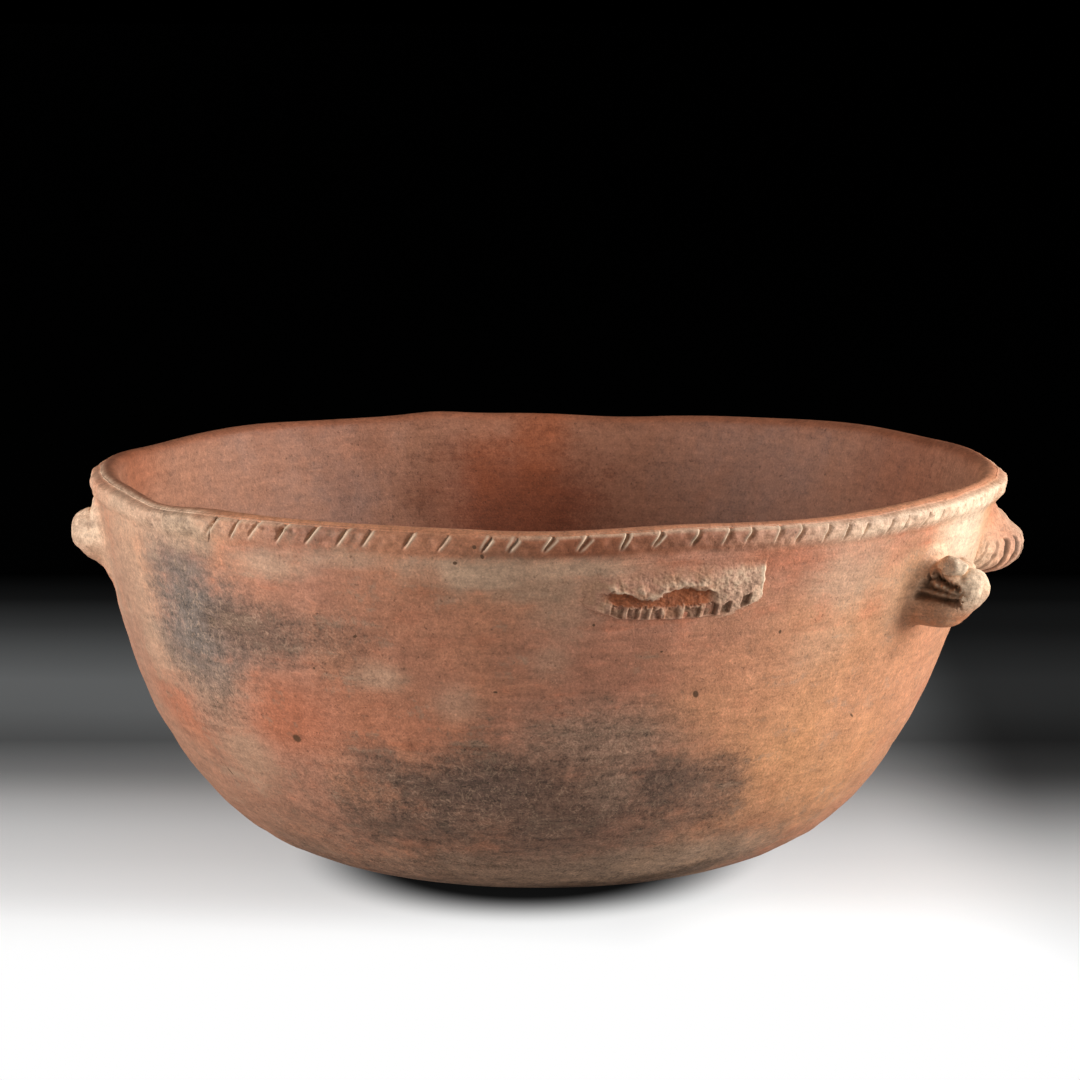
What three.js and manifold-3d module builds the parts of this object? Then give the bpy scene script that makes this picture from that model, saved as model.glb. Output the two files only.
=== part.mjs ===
// Hand-built clay effigy bowl, in millimetres, with +Z up. The pot stands on z = 0 and its axis is Z.
// Angles are in degrees about Z: 0 is +X and -90 is the front. The bowl is coil-built: a base pad,
// rings of clay lapped on one another, a notched strip luted round the lip, and an animal's head and
// four limbs that stand out from the wall. The head, and the smooth hind limbs, are riveted through
// the wall by tenons. The notched front limbs are luted on, and the right one is broken to a scar.
import * as THREE from 'three';
import { mergeVertices } from 'three/addons/utils/BufferGeometryUtils.js';
import Module from 'manifold-3d';

const wasm = await Module();
wasm.setup();

// Driving dimensions of the vessel
const HEIGHT = 109;
const RIM_RADIUS = 125.3;
const FOOT_RADIUS = 33.6;
const RIM_FLARE = 10.7;
const BASE_FULLNESS = 0.42;
const WALL_FULLNESS = 0.9;
const BASE_THICKNESS = 8;
const RIM_THICKNESS = 6;
const LIP_ROUND = 3;

// Coils and their lapped joints, measured along the outside of the wall
const PAD_REACH = 20;
const WALL_COILS = 5;
const RIM_COIL_WIDTH = 12;
const LAP = 4;
const CLEARANCE = 0.3;

// Notched strip round the lip
const STRIP_HEIGHT = 7.6;
const STRIP_PROUD = 1.4;
const STRIP_TOP_DROP = 0.9;
const STRIP_EDGE_ROUND = 1.2;
const STRIP_LAPS = [-132, 48];
const NOTCH_DEPTH = 1.1;
const NOTCH_WIDTH = 2.2;
const NOTCH_SLANT = 60;
const NOTCH_PITCH = 8.2;
const FRONT_NOTCHES = [
  -128, -125, -121, -117, -113, -110, -105, -101, -96, -93, -89, -85, -80, -76,
  -71, -67, -64, -60, -57, -53, -50, -47, -43, -40, -36, -33, -30,
];

// Head: a lug with a jaw groove on each flank and a clay pellet for each eye
const HEAD_ANGLE = -31;
const HEAD_DROP = 25.4;
const HEAD_LENGTH = 17.8;
const HEAD_WIDTH = 15.4;
const HEAD_TALL = 17.6;
const HEAD_TIP_SHARE = 0.65;
const HEAD_SQUARENESS = 2.3;
const SNOUT_LIFT = 2;
const SNOUT_TAPER = 1.3;
const MOUTH_LENGTH = 12.5;
const MOUTH_GAPE = 4.4;
const MOUTH_DEPTH = 2.4;
const MOUTH_SET_OUT = 1.6;
const MOUTH_LIFT = 1.4;
const MOUTH_SLOPE = 10;
const EYE_RADIUS = 3.1;
const EYE_SET_OUT = 10;
const EYE_SPREAD = 4.4;
const EYE_LIFT = 6.6;

// Hind limbs: smooth rounded lugs
const HIND_RIGHT_ANGLE = -179;
const HIND_LEFT_ANGLE = 109;
const HIND_DROP = 20;
const HIND_LENGTH = 9.6;
const HIND_WIDTH = 12.5;
const HIND_TALL = 12.5;
const HIND_TIP_SHARE = 0.62;
const HIND_RISE = 13;

// Front limbs: notched crescents, the left one whole and the right one broken off near the wall
const FRONT_LEFT_ANGLE = 3;
const FRONT_RIGHT_ANGLE = -73.5;
const FRONT_LENGTH = 53;
const FRONT_LEFT_DROP = 22;
const FRONT_LEFT_REACH = 13;
const FRONT_LEFT_TALL = 18;
const FRONT_TIP_TALL = 8.4;
const SCAR_TOP_DROP = 10;
const SCAR_TALL = 14;
const SCAR_PROUD = 3.4;
const SCAR_EDGE = 0.6;
const SCAR_LIP_SHARE = 0.84;
const SCAR_NOTCH_TALL = 4.2;
const SCAR_END_SHARE = 0.35;
const NOTCHED_SHARE = 0.85;
const LIMB_NOTCH_COUNT = 8;
const LIMB_NOTCH_WIDTH = 1;
const LIMB_NOTCH_DEPTH = 1.3;

// Tenons that rivet the head and the hind limbs through the wall
const TENON_RADIUS = 4;
const TENON_BURIED = 3;
const ROOT_FLARE = 2.6;

// Hand shaping: the belly's lean towards -X, lobes of the plan, with their swell in per cent of the
// rim's radius, and low and high places of the lip, with their rise in per cent of the height and
// their width in degrees
const BELLY_LEAN = 1.4;
const PLAN_LOBES = [
  { lobes: 3, swell: 1.82, towards: 3 },
  { lobes: 4, swell: 0.77, towards: -22 },
];
const LIP_WAVES = [
  { at: -145, rise: -1.38, width: 8 },
  { at: 155, rise: -0.92, width: 10 },
  { at: 133, rise: 0.46, width: 8 },
  { at: 118, rise: -0.9, width: 45 },
  { at: 105, rise: 0.83, width: 5 },
  { at: 79, rise: -1.01, width: 9 },
  { at: 40, rise: 1.19, width: 16 },
  { at: 14, rise: 0.73, width: 9 },
];
const LIP_WAVE_FADE = 8;

// Facets
const WALL_FACETS = 72;
const LUG_SIDES = 16;
const TENON_SIDES = 16;
const PLUG_STEPS = 12;
const CRESCENT_STEPS = 13;
const CRESCENT_END_SHARE = 0.985;

const radians = THREE.MathUtils.degToRad;
const degrees = THREE.MathUtils.radToDeg;

// Outside of the wall, from the edge of the foot to the lip
const wallCurve = new THREE.CubicBezierCurve(
  new THREE.Vector2(FOOT_RADIUS, 0),
  new THREE.Vector2(FOOT_RADIUS + BASE_FULLNESS * (RIM_RADIUS - FOOT_RADIUS), 0),
  new THREE.Vector2(
    RIM_RADIUS - WALL_FULLNESS * HEIGHT * Math.tan(radians(RIM_FLARE)),
    HEIGHT * (1 - WALL_FULLNESS),
  ),
  new THREE.Vector2(RIM_RADIUS, HEIGHT),
);
const WALL_LENGTH = wallCurve.getLength();
const COIL_WIDTH = (WALL_LENGTH - PAD_REACH - RIM_COIL_WIDTH) / WALL_COILS;

// Point on the wall's section: so far along the outside from the foot, and so deep into the clay
function wallPoint(along, depth) {
  const share = THREE.MathUtils.clamp(along / WALL_LENGTH, 0, 1);
  const point = wallCurve.getPointAt(share);
  const run = wallCurve.getTangentAt(share);
  return new THREE.Vector2(point.x - run.y * depth, point.y + run.x * depth);
}

function thicknessAt(along) {
  return THREE.MathUtils.lerp(BASE_THICKNESS, RIM_THICKNESS, along / WALL_LENGTH);
}

// Distance along the wall at which its outside reaches a height, by halving
function alongAtHeight(height) {
  let low = 0;
  let high = WALL_LENGTH;
  for (let step = 0; step < 40; step += 1) {
    const middle = (low + high) / 2;
    if (wallPoint(middle, 0).y < height) low = middle;
    else high = middle;
  }
  return (low + high) / 2;
}

function between(from, to, count) {
  return Array.from({ length: count }, (_, i) => THREE.MathUtils.lerp(from, to, i / (count - 1)));
}

// Half the shift along the wall that leaves the clearance square to a bevelled lap
function lapShift(along) {
  const thickness = thicknessAt(along);
  return (CLEARANCE * Math.hypot(thickness, LAP)) / thickness / 2;
}

function outsideRun(from, to, count) {
  return between(from, to, count).map((along) => wallPoint(along, 0));
}

function insideRun(from, to, count) {
  return between(from, to, count).map((along) => wallPoint(along, thicknessAt(along)));
}

// Ends of a ring's outer and inner face where it laps on its neighbour
const topOfLap = (along) => ({
  outer: along - LAP / 2 - lapShift(along),
  inner: along + LAP / 2 - lapShift(along),
});
const bottomOfLap = (along) => ({
  outer: along - LAP / 2 + lapShift(along),
  inner: along + LAP / 2 + lapShift(along),
});

// Turn a profile about Z. A profile off the axis closes on itself.
function turned(profile) {
  const points = [...profile];
  if (profile[0].x > 0) points.push(profile[0].clone());
  return new THREE.LatheGeometry(points, WALL_FACETS).rotateX(Math.PI / 2);
}

// Closed solid for boolean work, from a geometry whose vertices are merged
function solid(geometry) {
  const bare = geometry.index ? geometry.clone() : mergeVertices(geometry);
  bare.deleteAttribute('normal');
  bare.deleteAttribute('uv');
  const merged = mergeVertices(bare, 1e-4);
  const corners = [];
  for (let i = 0; i < merged.index.count; i += 3) {
    const [a, b, c] = [0, 1, 2].map((k) => merged.index.getX(i + k));
    if (a !== b && b !== c && c !== a) corners.push(a, b, c);
  }
  const mesh = new wasm.Mesh({
    numProp: 3,
    vertProperties: Float32Array.from(merged.attributes.position.array),
    triVerts: Uint32Array.from(corners),
  });
  return new wasm.Manifold(mesh);
}

// Skin a row of closed rings that have the same number of points, and cap both ends
function loft(rings) {
  const sides = rings[0].length;
  const vertices = rings.flat();
  const corners = [];
  for (let ring = 0; ring < rings.length - 1; ring += 1) {
    for (let side = 0; side < sides; side += 1) {
      const here = ring * sides + side;
      const next = ring * sides + ((side + 1) % sides);
      corners.push(here, next, next + sides, here, next + sides, here + sides);
    }
  }
  const last = (rings.length - 1) * sides;
  for (let side = 1; side < sides - 1; side += 1) {
    corners.push(0, side + 1, side, last, last + side, last + side + 1);
  }
  const geometry = new THREE.BufferGeometry().setFromPoints(vertices);
  geometry.setIndex(corners);
  return geometry;
}

// Place local axes (out, round, up) on the wall's outside, at an angle and a drop below the lip.
// A positive tilt points the tip down.
function onWall(angle, drop, tilt) {
  const seat = wallPoint(alongAtHeight(HEIGHT - drop), 0);
  return new THREE.Matrix4()
    .makeRotationZ(radians(angle))
    .multiply(new THREE.Matrix4().makeTranslation(seat.x, 0, seat.y))
    .multiply(new THREE.Matrix4().makeRotationY(radians(tilt)));
}

// Rounded ring across the out axis: half sizes, centre height and squareness
function lugRing({ out, wide, tall, up }, squareness, grow) {
  return Array.from({ length: LUG_SIDES }, (_, side) => {
    const turn = (2 * Math.PI * side) / LUG_SIDES;
    const bend = (value) => Math.sign(value) * Math.abs(value) ** (2 / squareness);
    return new THREE.Vector3(
      out,
      (wide + grow) * bend(Math.cos(turn)),
      up + (tall + grow) * bend(Math.sin(turn)),
    );
  });
}

// Everything within the wall's outside and its clearance, and everything within the bowl's inside
function plug(grow) {
  const alongs = between(WALL_LENGTH / 2, WALL_LENGTH, PLUG_STEPS);
  const side = alongs.map((along) => wallPoint(along, grow < 0 ? thicknessAt(along) : -grow));
  const floor = new THREE.Vector2(0, side[0].y);
  const top = side[side.length - 1].clone();
  top.y += RIM_RADIUS;
  return solid(turned([floor, ...side, top, new THREE.Vector2(0, top.y)]));
}
const wallPlug = plug(CLEARANCE);
const hollowPlug = plug(-1);

// Rod along the out axis from one distance to another
function rod(radius, from, to, placing) {
  const geometry = new THREE.CylinderGeometry(radius, radius, to - from, TENON_SIDES);
  geometry.rotateZ(-Math.PI / 2).translate((from + to) / 2, 0, 0);
  return solid(geometry.applyMatrix4(placing));
}

// Tenon from inside a lug to flush with the bowl's inside
function tenon(placing) {
  return rod(TENON_RADIUS, -2 * BASE_THICKNESS, TENON_BURIED, placing).subtract(hollowPlug);
}

function tenonHole(placing) {
  return rod(TENON_RADIUS + CLEARANCE, -2 * BASE_THICKNESS, 2 * BASE_THICKNESS, placing);
}

// Lug seated on the wall and riveted through it
function rivetedLug(sections, squareness, placing) {
  const body = solid(loft(sections.map((s) => lugRing(s, squareness, 0))).applyMatrix4(placing));
  return body.subtract(wallPlug).add(tenon(placing));
}

const headPlacing = onWall(HEAD_ANGLE, HEAD_DROP, 0);
const hindPlacings = {
  hind_right_limb: onWall(HIND_RIGHT_ANGLE, HIND_DROP, -HIND_RISE),
  hind_left_limb: onWall(HIND_LEFT_ANGLE, HIND_DROP, -HIND_RISE),
};

// Sections of a lug from its flared root to its rounded tip. The tip is a quarter ellipse, drawn in
// by its taper and raised by its lift.
function lugSections(length, wide, tall, tipShare, lift, taper) {
  const body = length * (1 - tipShare);
  const root = [
    { out: -2 * ROOT_FLARE, wide: wide / 2 + ROOT_FLARE, tall: tall / 2 + 1.5 * ROOT_FLARE, up: 0 },
    { out: ROOT_FLARE / 4, wide: wide / 2 + ROOT_FLARE / 2, tall: tall / 2 + ROOT_FLARE, up: 0 },
    { out: ROOT_FLARE, wide: wide / 2, tall: tall / 2 + ROOT_FLARE / 4, up: 0 },
  ];
  const tip = [0, 35, 60, 80].map((turn) => ({
    out: body + length * tipShare * Math.sin(radians(turn)),
    wide: (wide / 2) * Math.cos(radians(turn)) ** taper,
    tall: (tall / 2) * Math.cos(radians(turn)) ** taper,
    up: lift * Math.sin(radians(turn)),
  }));
  return [...root, ...tip];
}

const headSections = lugSections(
  HEAD_LENGTH, HEAD_WIDTH, HEAD_TALL, HEAD_TIP_SHARE, SNOUT_LIFT, SNOUT_TAPER,
);

// Groove between the jaws, on the flank that faces one way round
function mouthGroove(side) {
  const gouge = new THREE.SphereGeometry(1, 16, 8);
  gouge.scale(MOUTH_LENGTH / 2, MOUTH_DEPTH, MOUTH_GAPE / 2).rotateY(radians(MOUTH_SLOPE));
  gouge.translate(MOUTH_SET_OUT + MOUTH_LENGTH / 2, side * (HEAD_WIDTH / 2), MOUTH_LIFT);
  return solid(gouge.applyMatrix4(headPlacing));
}

function head() {
  let clay = rivetedLug(headSections, HEAD_SQUARENESS, headPlacing);
  for (const side of [-1, 1]) clay = clay.subtract(mouthGroove(side));
  return clay;
}

// Flattened pellet pressed on the head above the mouth
function eyePellet(side) {
  const pellet = new THREE.SphereGeometry(EYE_RADIUS, 14, 8);
  pellet.translate(EYE_SET_OUT, side * EYE_SPREAD, EYE_LIFT);
  const around = loft(headSections.map((s) => lugRing(s, HEAD_SQUARENESS, CLEARANCE)));
  return solid(pellet.applyMatrix4(headPlacing))
    .subtract(solid(around.applyMatrix4(headPlacing)));
}

function hindLimb(name) {
  const sections = lugSections(HIND_LENGTH, HIND_WIDTH, HIND_TALL, HIND_TIP_SHARE, 0, 1);
  return rivetedLug(sections, 2, hindPlacings[name]);
}

// Point beside the wall: angle, height and distance out from the wall's outside at that height
function beside(angle, height, out) {
  const radius = wallPoint(alongAtHeight(height), 0).x + out;
  return new THREE.Vector3(
    radius * Math.cos(radians(angle)),
    radius * Math.sin(radians(angle)),
    height,
  );
}

// Places along a crescent out to a share of its half length, closer together at its ends
function crescentStations(centre, share, count) {
  const halfSpan = degrees(FRONT_LENGTH / 2 / RIM_RADIUS);
  const reach = degrees(Math.asin(share));
  return between(-reach, reach, count).map((turn) => ({
    angle: centre + halfSpan * Math.sin(radians(turn)),
    fullness: Math.cos(radians(turn)),
  }));
}
const bodyStations = (centre) => crescentStations(centre, CRESCENT_END_SHARE, CRESCENT_STEPS);
const notchStations = (centre) => crescentStations(centre, NOTCHED_SHARE, LIMB_NOTCH_COUNT);

// Thin wedge across a crescent's edge
function limbNotch(angle, height, out, tall) {
  const cut = new THREE.BoxGeometry(2 * LIMB_NOTCH_DEPTH, LIMB_NOTCH_WIDTH, tall);
  cut.rotateX(radians(90 - NOTCH_SLANT) / 2);
  const at = beside(angle, height, out);
  cut.rotateZ(radians(angle)).translate(at.x, at.y, at.z);
  return solid(cut);
}

// Whole crescent: a flange whose section tapers to a rounded, notched edge
function frontLeftLimb() {
  const height = HEIGHT - FRONT_LEFT_DROP;
  const rings = bodyStations(FRONT_LEFT_ANGLE).map(({ angle, fullness }) => {
    const root = (FRONT_LEFT_TALL / 2) * Math.sqrt(fullness);
    const tip = (FRONT_TIP_TALL / 2) * Math.sqrt(fullness);
    const reach = FRONT_LEFT_REACH * fullness;
    const edge = [60, 20, -20, -60].map((turn) => [
      reach - tip + tip * Math.cos(radians(turn)),
      tip * Math.sin(radians(turn)),
    ]);
    const outline = [[-ROOT_FLARE, root], [0, root], ...edge, [0, -root], [-ROOT_FLARE, -root]];
    return outline.map(([out, up]) => beside(angle, height + up, out));
  });
  let clay = solid(loft(rings)).subtract(wallPlug);
  for (const { angle, fullness } of notchStations(FRONT_LEFT_ANGLE)) {
    clay = clay.subtract(
      limbNotch(angle, height, FRONT_LEFT_REACH * fullness, FRONT_TIP_TALL),
    );
  }
  return clay;
}

// Height and proudness of the scar, which keep a share of their size at its square ends
function scarSize(fullness) {
  return {
    tall: SCAR_TALL * THREE.MathUtils.lerp(SCAR_END_SHARE, 1, Math.sqrt(fullness)),
    proud: SCAR_PROUD * THREE.MathUtils.lerp(SCAR_END_SHARE, 1, fullness),
  };
}

// Broken crescent: a low scar that is proudest along its notched lower edge
function frontRightLimb() {
  const top = HEIGHT - SCAR_TOP_DROP;
  const rings = bodyStations(FRONT_RIGHT_ANGLE).map(({ angle, fullness }) => {
    const { tall, proud } = scarSize(fullness);
    const lip = SCAR_LIP_SHARE * tall;
    const outline = [
      [-ROOT_FLARE, 0],
      [SCAR_EDGE, 0],
      [proud / 3, -lip / 2],
      [proud / 2, -lip + SCAR_EDGE],
      [proud, -lip],
      [proud, -(lip + tall) / 2],
      [SCAR_EDGE, -tall],
      [-ROOT_FLARE, -tall],
    ];
    return outline.map(([out, up]) => beside(angle, top + up, out));
  });
  let clay = solid(loft(rings)).subtract(wallPlug);
  for (const { angle, fullness } of notchStations(FRONT_RIGHT_ANGLE)) {
    const { tall, proud } = scarSize(fullness);
    clay = clay.subtract(limbNotch(angle, top - SCAR_LIP_SHARE * tall, proud, SCAR_NOTCH_TALL));
  }
  return clay;
}

// Base pad, rings and lip
function basePad() {
  const top = topOfLap(PAD_REACH);
  return solid(turned([
    new THREE.Vector2(0, 0),
    ...outsideRun(0, top.outer, 4),
    ...insideRun(top.inner, 0, 4),
    new THREE.Vector2(0, BASE_THICKNESS),
  ]));
}

function wallCoil(number) {
  const low = bottomOfLap(PAD_REACH + (number - 1) * COIL_WIDTH);
  const high = topOfLap(PAD_REACH + number * COIL_WIDTH);
  return solid(turned([
    ...outsideRun(low.outer, high.outer, 3),
    ...insideRun(high.inner, low.inner, 3),
  ]));
}

function rimCoil() {
  const low = bottomOfLap(WALL_LENGTH - RIM_COIL_WIDTH);
  const lipStart = WALL_LENGTH - LIP_ROUND;
  const half = RIM_THICKNESS / 2;
  const lip = [0, 45, 90, 135, 180].map((turn) => wallPoint(
    lipStart + LIP_ROUND * Math.sin(radians(turn)),
    half - half * Math.cos(radians(turn)),
  ));
  return solid(turned([
    wallPoint(low.outer, 0),
    ...lip,
    wallPoint(low.inner, thicknessAt(low.inner)),
  ]));
}

// Notches of the whole strip: the ones at the front where they are cut, then at an even pitch
function allNotches() {
  const last = FRONT_NOTCHES[FRONT_NOTCHES.length - 1];
  const first = FRONT_NOTCHES[0] + 360;
  const steps = Math.round(radians(first - last) / (NOTCH_PITCH / RIM_RADIUS));
  return [...FRONT_NOTCHES, ...between(last, first, steps + 1).slice(1, -1)];
}

// Section of the strip at an angle, leaning with the notches, and cut back by a notch's depth
function stripRing(angle, cut) {
  const top = WALL_LENGTH - STRIP_TOP_DROP;
  const bottom = top - STRIP_HEIGHT;
  const face = CLEARANCE + STRIP_PROUD;
  const outline = [
    [top, CLEARANCE],
    [top - STRIP_EDGE_ROUND / 2, face - STRIP_PROUD / 3],
    [(top + bottom) / 2 + STRIP_EDGE_ROUND, face - cut],
    [bottom + STRIP_EDGE_ROUND, face - cut],
    [bottom + STRIP_EDGE_ROUND / 2, face - STRIP_PROUD / 2 - cut / 2],
    [bottom, CLEARANCE],
  ];
  return outline.map(([along, out]) => {
    const point = wallPoint(along, -out);
    const lean = (along - (top + bottom) / 2) / Math.tan(radians(NOTCH_SLANT));
    const turn = radians(angle) + lean / RIM_RADIUS;
    return new THREE.Vector3(point.x * Math.cos(turn), point.x * Math.sin(turn), point.y);
  });
}

// One length of strip between two of its laps
function rimFillet(from, to) {
  const halfNotch = degrees(NOTCH_WIDTH / 2 / RIM_RADIUS);
  const halfGap = degrees(CLEARANCE / 2 / Math.sin(radians(NOTCH_SLANT)) / RIM_RADIUS);
  const rings = [stripRing(from + halfGap, 0)];
  for (const notch of allNotches()) {
    const angle = notch < from ? notch + 360 : notch;
    if (angle - halfNotch > from + halfGap && angle + halfNotch < to - halfGap) {
      rings.push(stripRing(angle - halfNotch, 0));
      rings.push(stripRing(angle, NOTCH_DEPTH));
      rings.push(stripRing(angle + halfNotch, 0));
    }
  }
  rings.push(stripRing(to - halfGap, 0));
  return solid(loft(rings));
}

// The potter's hand: the plan swells into lobes towards the lip, the belly leans to one side, and the
// lip rises and dips
function handShape(geometry) {
  const position = geometry.attributes.position;
  for (let i = 0; i < position.count; i += 1) {
    const [x, y, z] = [position.getX(i), position.getY(i), position.getZ(i)];
    const angle = degrees(Math.atan2(y, x));
    const lift = z / HEIGHT;
    let swell = 0;
    for (const { lobes, swell: size, towards } of PLAN_LOBES) {
      swell += size * Math.cos(radians(lobes * (angle - towards)));
    }
    let rise = 0;
    for (const { at, rise: size, width } of LIP_WAVES) {
      const away = THREE.MathUtils.euclideanModulo(angle - at + 180, 360) - 180;
      rise += size * Math.exp(-((away / width) ** 2));
    }
    const scale = 1 + (swell / 100) * lift ** 2;
    const lean = BELLY_LEAN * Math.sin(Math.PI * lift);
    const lipRise = (rise / 100) * HEIGHT * lift ** LIP_WAVE_FADE;
    position.setXYZ(i, x * scale - lean, y * scale, z + lipRise);
  }
  return geometry;
}

const FIRED_CLAY = { color: 0xb5714f, roughness: 0.62 };
const PALE_CLAY = { color: 0xc89a78, roughness: 0.78 };
const RED_CLAY = { color: 0xa85c3f, roughness: 0.66 };

const bowl = new THREE.Group();

function addPiece(name, clay, finish) {
  const shape = clay.getMesh();
  const geometry = new THREE.BufferGeometry();
  geometry.setAttribute('position', new THREE.BufferAttribute(shape.vertProperties, 3));
  geometry.setIndex(new THREE.BufferAttribute(shape.triVerts, 1));
  handShape(geometry).computeVertexNormals();
  const material = new THREE.MeshStandardMaterial({ ...finish, metalness: 0 });
  const mesh = new THREE.Mesh(geometry, material);
  mesh.name = name;
  bowl.add(mesh);
}

addPiece('base_pad', basePad(), FIRED_CLAY);
for (let number = 1; number < WALL_COILS; number += 1) {
  addPiece(`wall_coil_${number}`, wallCoil(number), FIRED_CLAY);
}
let piercedCoil = wallCoil(WALL_COILS);
for (const placing of [headPlacing, ...Object.values(hindPlacings)]) {
  piercedCoil = piercedCoil.subtract(tenonHole(placing));
}
addPiece(`wall_coil_${WALL_COILS}`, piercedCoil, FIRED_CLAY);
addPiece('rim_coil', rimCoil(), RED_CLAY);
const [nearLap, farLap] = STRIP_LAPS;
addPiece('rim_fillet_1', rimFillet(nearLap, farLap), PALE_CLAY);
addPiece('rim_fillet_2', rimFillet(farLap, nearLap + 360), PALE_CLAY);
addPiece('head', head(), PALE_CLAY);
addPiece('eye_pellet_near', eyePellet(-1), PALE_CLAY);
addPiece('eye_pellet_far', eyePellet(1), PALE_CLAY);
addPiece('front_right_limb', frontRightLimb(), RED_CLAY);
addPiece('front_left_limb', frontLeftLimb(), PALE_CLAY);
for (const name of Object.keys(hindPlacings)) addPiece(name, hindLimb(name), PALE_CLAY);

export default bowl;
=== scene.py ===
"""Hand-built clay effigy bowl with a notched strip round its lip, an animal's head and four limbs.

Shapes are worked out in millimetres and put into the meshes in metres. Angles are in degrees about Z:
0 is +X and -90 is the front. "Along" is a distance on the outside of the wall, up from the foot.
"""
import math

import bpy
import numpy as np
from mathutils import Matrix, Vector


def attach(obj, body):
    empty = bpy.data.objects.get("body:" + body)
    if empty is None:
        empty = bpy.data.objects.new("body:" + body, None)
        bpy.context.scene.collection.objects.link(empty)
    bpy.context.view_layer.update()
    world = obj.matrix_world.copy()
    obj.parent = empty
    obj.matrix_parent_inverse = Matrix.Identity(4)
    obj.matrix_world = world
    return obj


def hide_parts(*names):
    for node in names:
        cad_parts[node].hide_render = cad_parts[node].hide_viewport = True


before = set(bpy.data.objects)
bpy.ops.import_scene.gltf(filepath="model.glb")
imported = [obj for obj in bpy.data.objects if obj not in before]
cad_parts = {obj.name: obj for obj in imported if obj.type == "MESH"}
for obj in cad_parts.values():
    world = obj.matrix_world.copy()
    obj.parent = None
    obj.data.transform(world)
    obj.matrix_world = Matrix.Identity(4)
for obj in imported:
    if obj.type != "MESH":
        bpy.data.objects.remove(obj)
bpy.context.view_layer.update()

MM = 0.001

# Vessel, as in the part's own source
HEIGHT = 109
RIM_RADIUS = 125.3
FOOT_RADIUS = 33.6
RIM_FLARE = 10.7
BASE_FULLNESS = 0.42
WALL_FULLNESS = 0.9
BELLY_LEAN = 1.4
BASE_THICKNESS = 8
RIM_THICKNESS = 6
LIP_ROUND = 3
STRIP_HEIGHT = 7.6
STRIP_TOP_DROP = 0.9
NOTCH_SLANT = 60

# Effigy's places on the wall: angles, and drops below the rim
HEAD_ANGLE = -31
HEAD_DROP = 25.4
HIND_ANGLES = {"hind_right_limb": -179, "hind_left_limb": 109}
HIND_DROP = 20
FLANGE_ANGLE = 3
FLANGE_DROP = 20.5
SCAR_CENTRE = -73.5
SCAR_RADIUS = 121
CRESCENT_HALF = 30

# How deep the face that closes a luted piece lies in the wall
BURIED = 1.6
# Distances out of the wall between which a lug's rings turn from the wall's curve to upright
STAND = (1.5, 6)
UPWARD = np.array([0, 0, 1])

# Lobes of the plan: count, swell in per cent of the rim's radius and direction. Waves of the lip:
# place, rise in per cent of the height, and width. The last two are for the visual lip alone.
PLAN_LOBES = [(3, 1.82, 3), (4, 0.77, -22)]
LIP_WAVES = [
    (-145, -1.38, 8), (155, -0.92, 10), (133, 0.46, 8), (118, -0.9, 45), (105, 0.83, 5),
    (79, -1.01, 9), (40, 1.19, 16), (14, 0.73, 9), (-89, -1.05, 12), (-53, -1.4, 17),
]
LIP_WAVE_FADE = 8


def smooth(low, high, value):
    """Smooth step from 0 at one value to 1 at another, which may be the lower one."""
    share = np.clip((value - low) / (high - low), 0, 1)
    return share * share * (3 - 2 * share)


def within(value, start, full, fade, end):
    """Smooth step up from 0 to 1 between two values and down again between two later ones."""
    return smooth(start, full, value) * smooth(end, fade, value)


def bump(value, at, width):
    """Bell curve of height 1: e to the minus square of the distance over the width."""
    return np.exp(-(((value - at) / width) ** 2))


def wall_table():
    """Outside of the wall: a cubic Bezier from the foot to the lip, measured by its length. Gives
    along, radius, height and the run's direction."""
    t = np.linspace(0, 1, 4001)[:, None]
    flare = WALL_FULLNESS * HEIGHT * math.tan(math.radians(RIM_FLARE))
    ends = np.array([
        (FOOT_RADIUS, 0),
        (FOOT_RADIUS + BASE_FULLNESS * (RIM_RADIUS - FOOT_RADIUS), 0),
        (RIM_RADIUS - flare, HEIGHT * (1 - WALL_FULLNESS)),
        (RIM_RADIUS, HEIGHT),
    ])
    share = np.hstack([(1 - t) ** 3, 3 * t * (1 - t) ** 2, 3 * t * t * (1 - t), t ** 3])
    curve = share @ ends
    steps = np.hypot(*np.diff(curve, axis=0).T)
    along = np.concatenate([[0], np.cumsum(steps)])
    run = np.gradient(curve, along, axis=0)
    run /= np.linalg.norm(run, axis=1, keepdims=True)
    return along, curve[:, 0], curve[:, 1], run[:, 0], run[:, 1]


ALONG, WALL_RADIUS, WALL_HEIGHT, RUN_OUT, RUN_UP = wall_table()
WALL_LENGTH = ALONG[-1]


def wall(along, depth):
    """Radius and height of a point so far along the wall and so deep in its clay."""
    radius, height, run_out, run_up = (
        np.interp(along, ALONG, column) for column in (WALL_RADIUS, WALL_HEIGHT, RUN_OUT, RUN_UP)
    )
    return radius - run_up * depth, height + run_out * depth


def turn_about(angle, radius, height):
    """Points at a radius and a height, turned about Z by an angle in degrees."""
    angle, radius, height = np.broadcast_arrays(np.radians(angle), radius, height)
    return np.stack([radius * np.cos(angle), radius * np.sin(angle), height], axis=-1)


def clay_noise(points, size, seed):
    """Smooth noise about zero with a spread of 1: 24 plane waves of about one size, in seeded
    directions, summed and divided by the root of 12."""
    draw = np.random.default_rng(seed)
    ways = draw.normal(size=(24, 3))
    ways *= 2 * np.pi / size * draw.uniform(0.7, 1.4, (24, 1)) / np.linalg.norm(
        ways, axis=1, keepdims=True)
    waves = np.sin(points @ ways.T + draw.uniform(0, 2 * np.pi, 24))
    return waves.sum(axis=-1) / math.sqrt(12)


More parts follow.
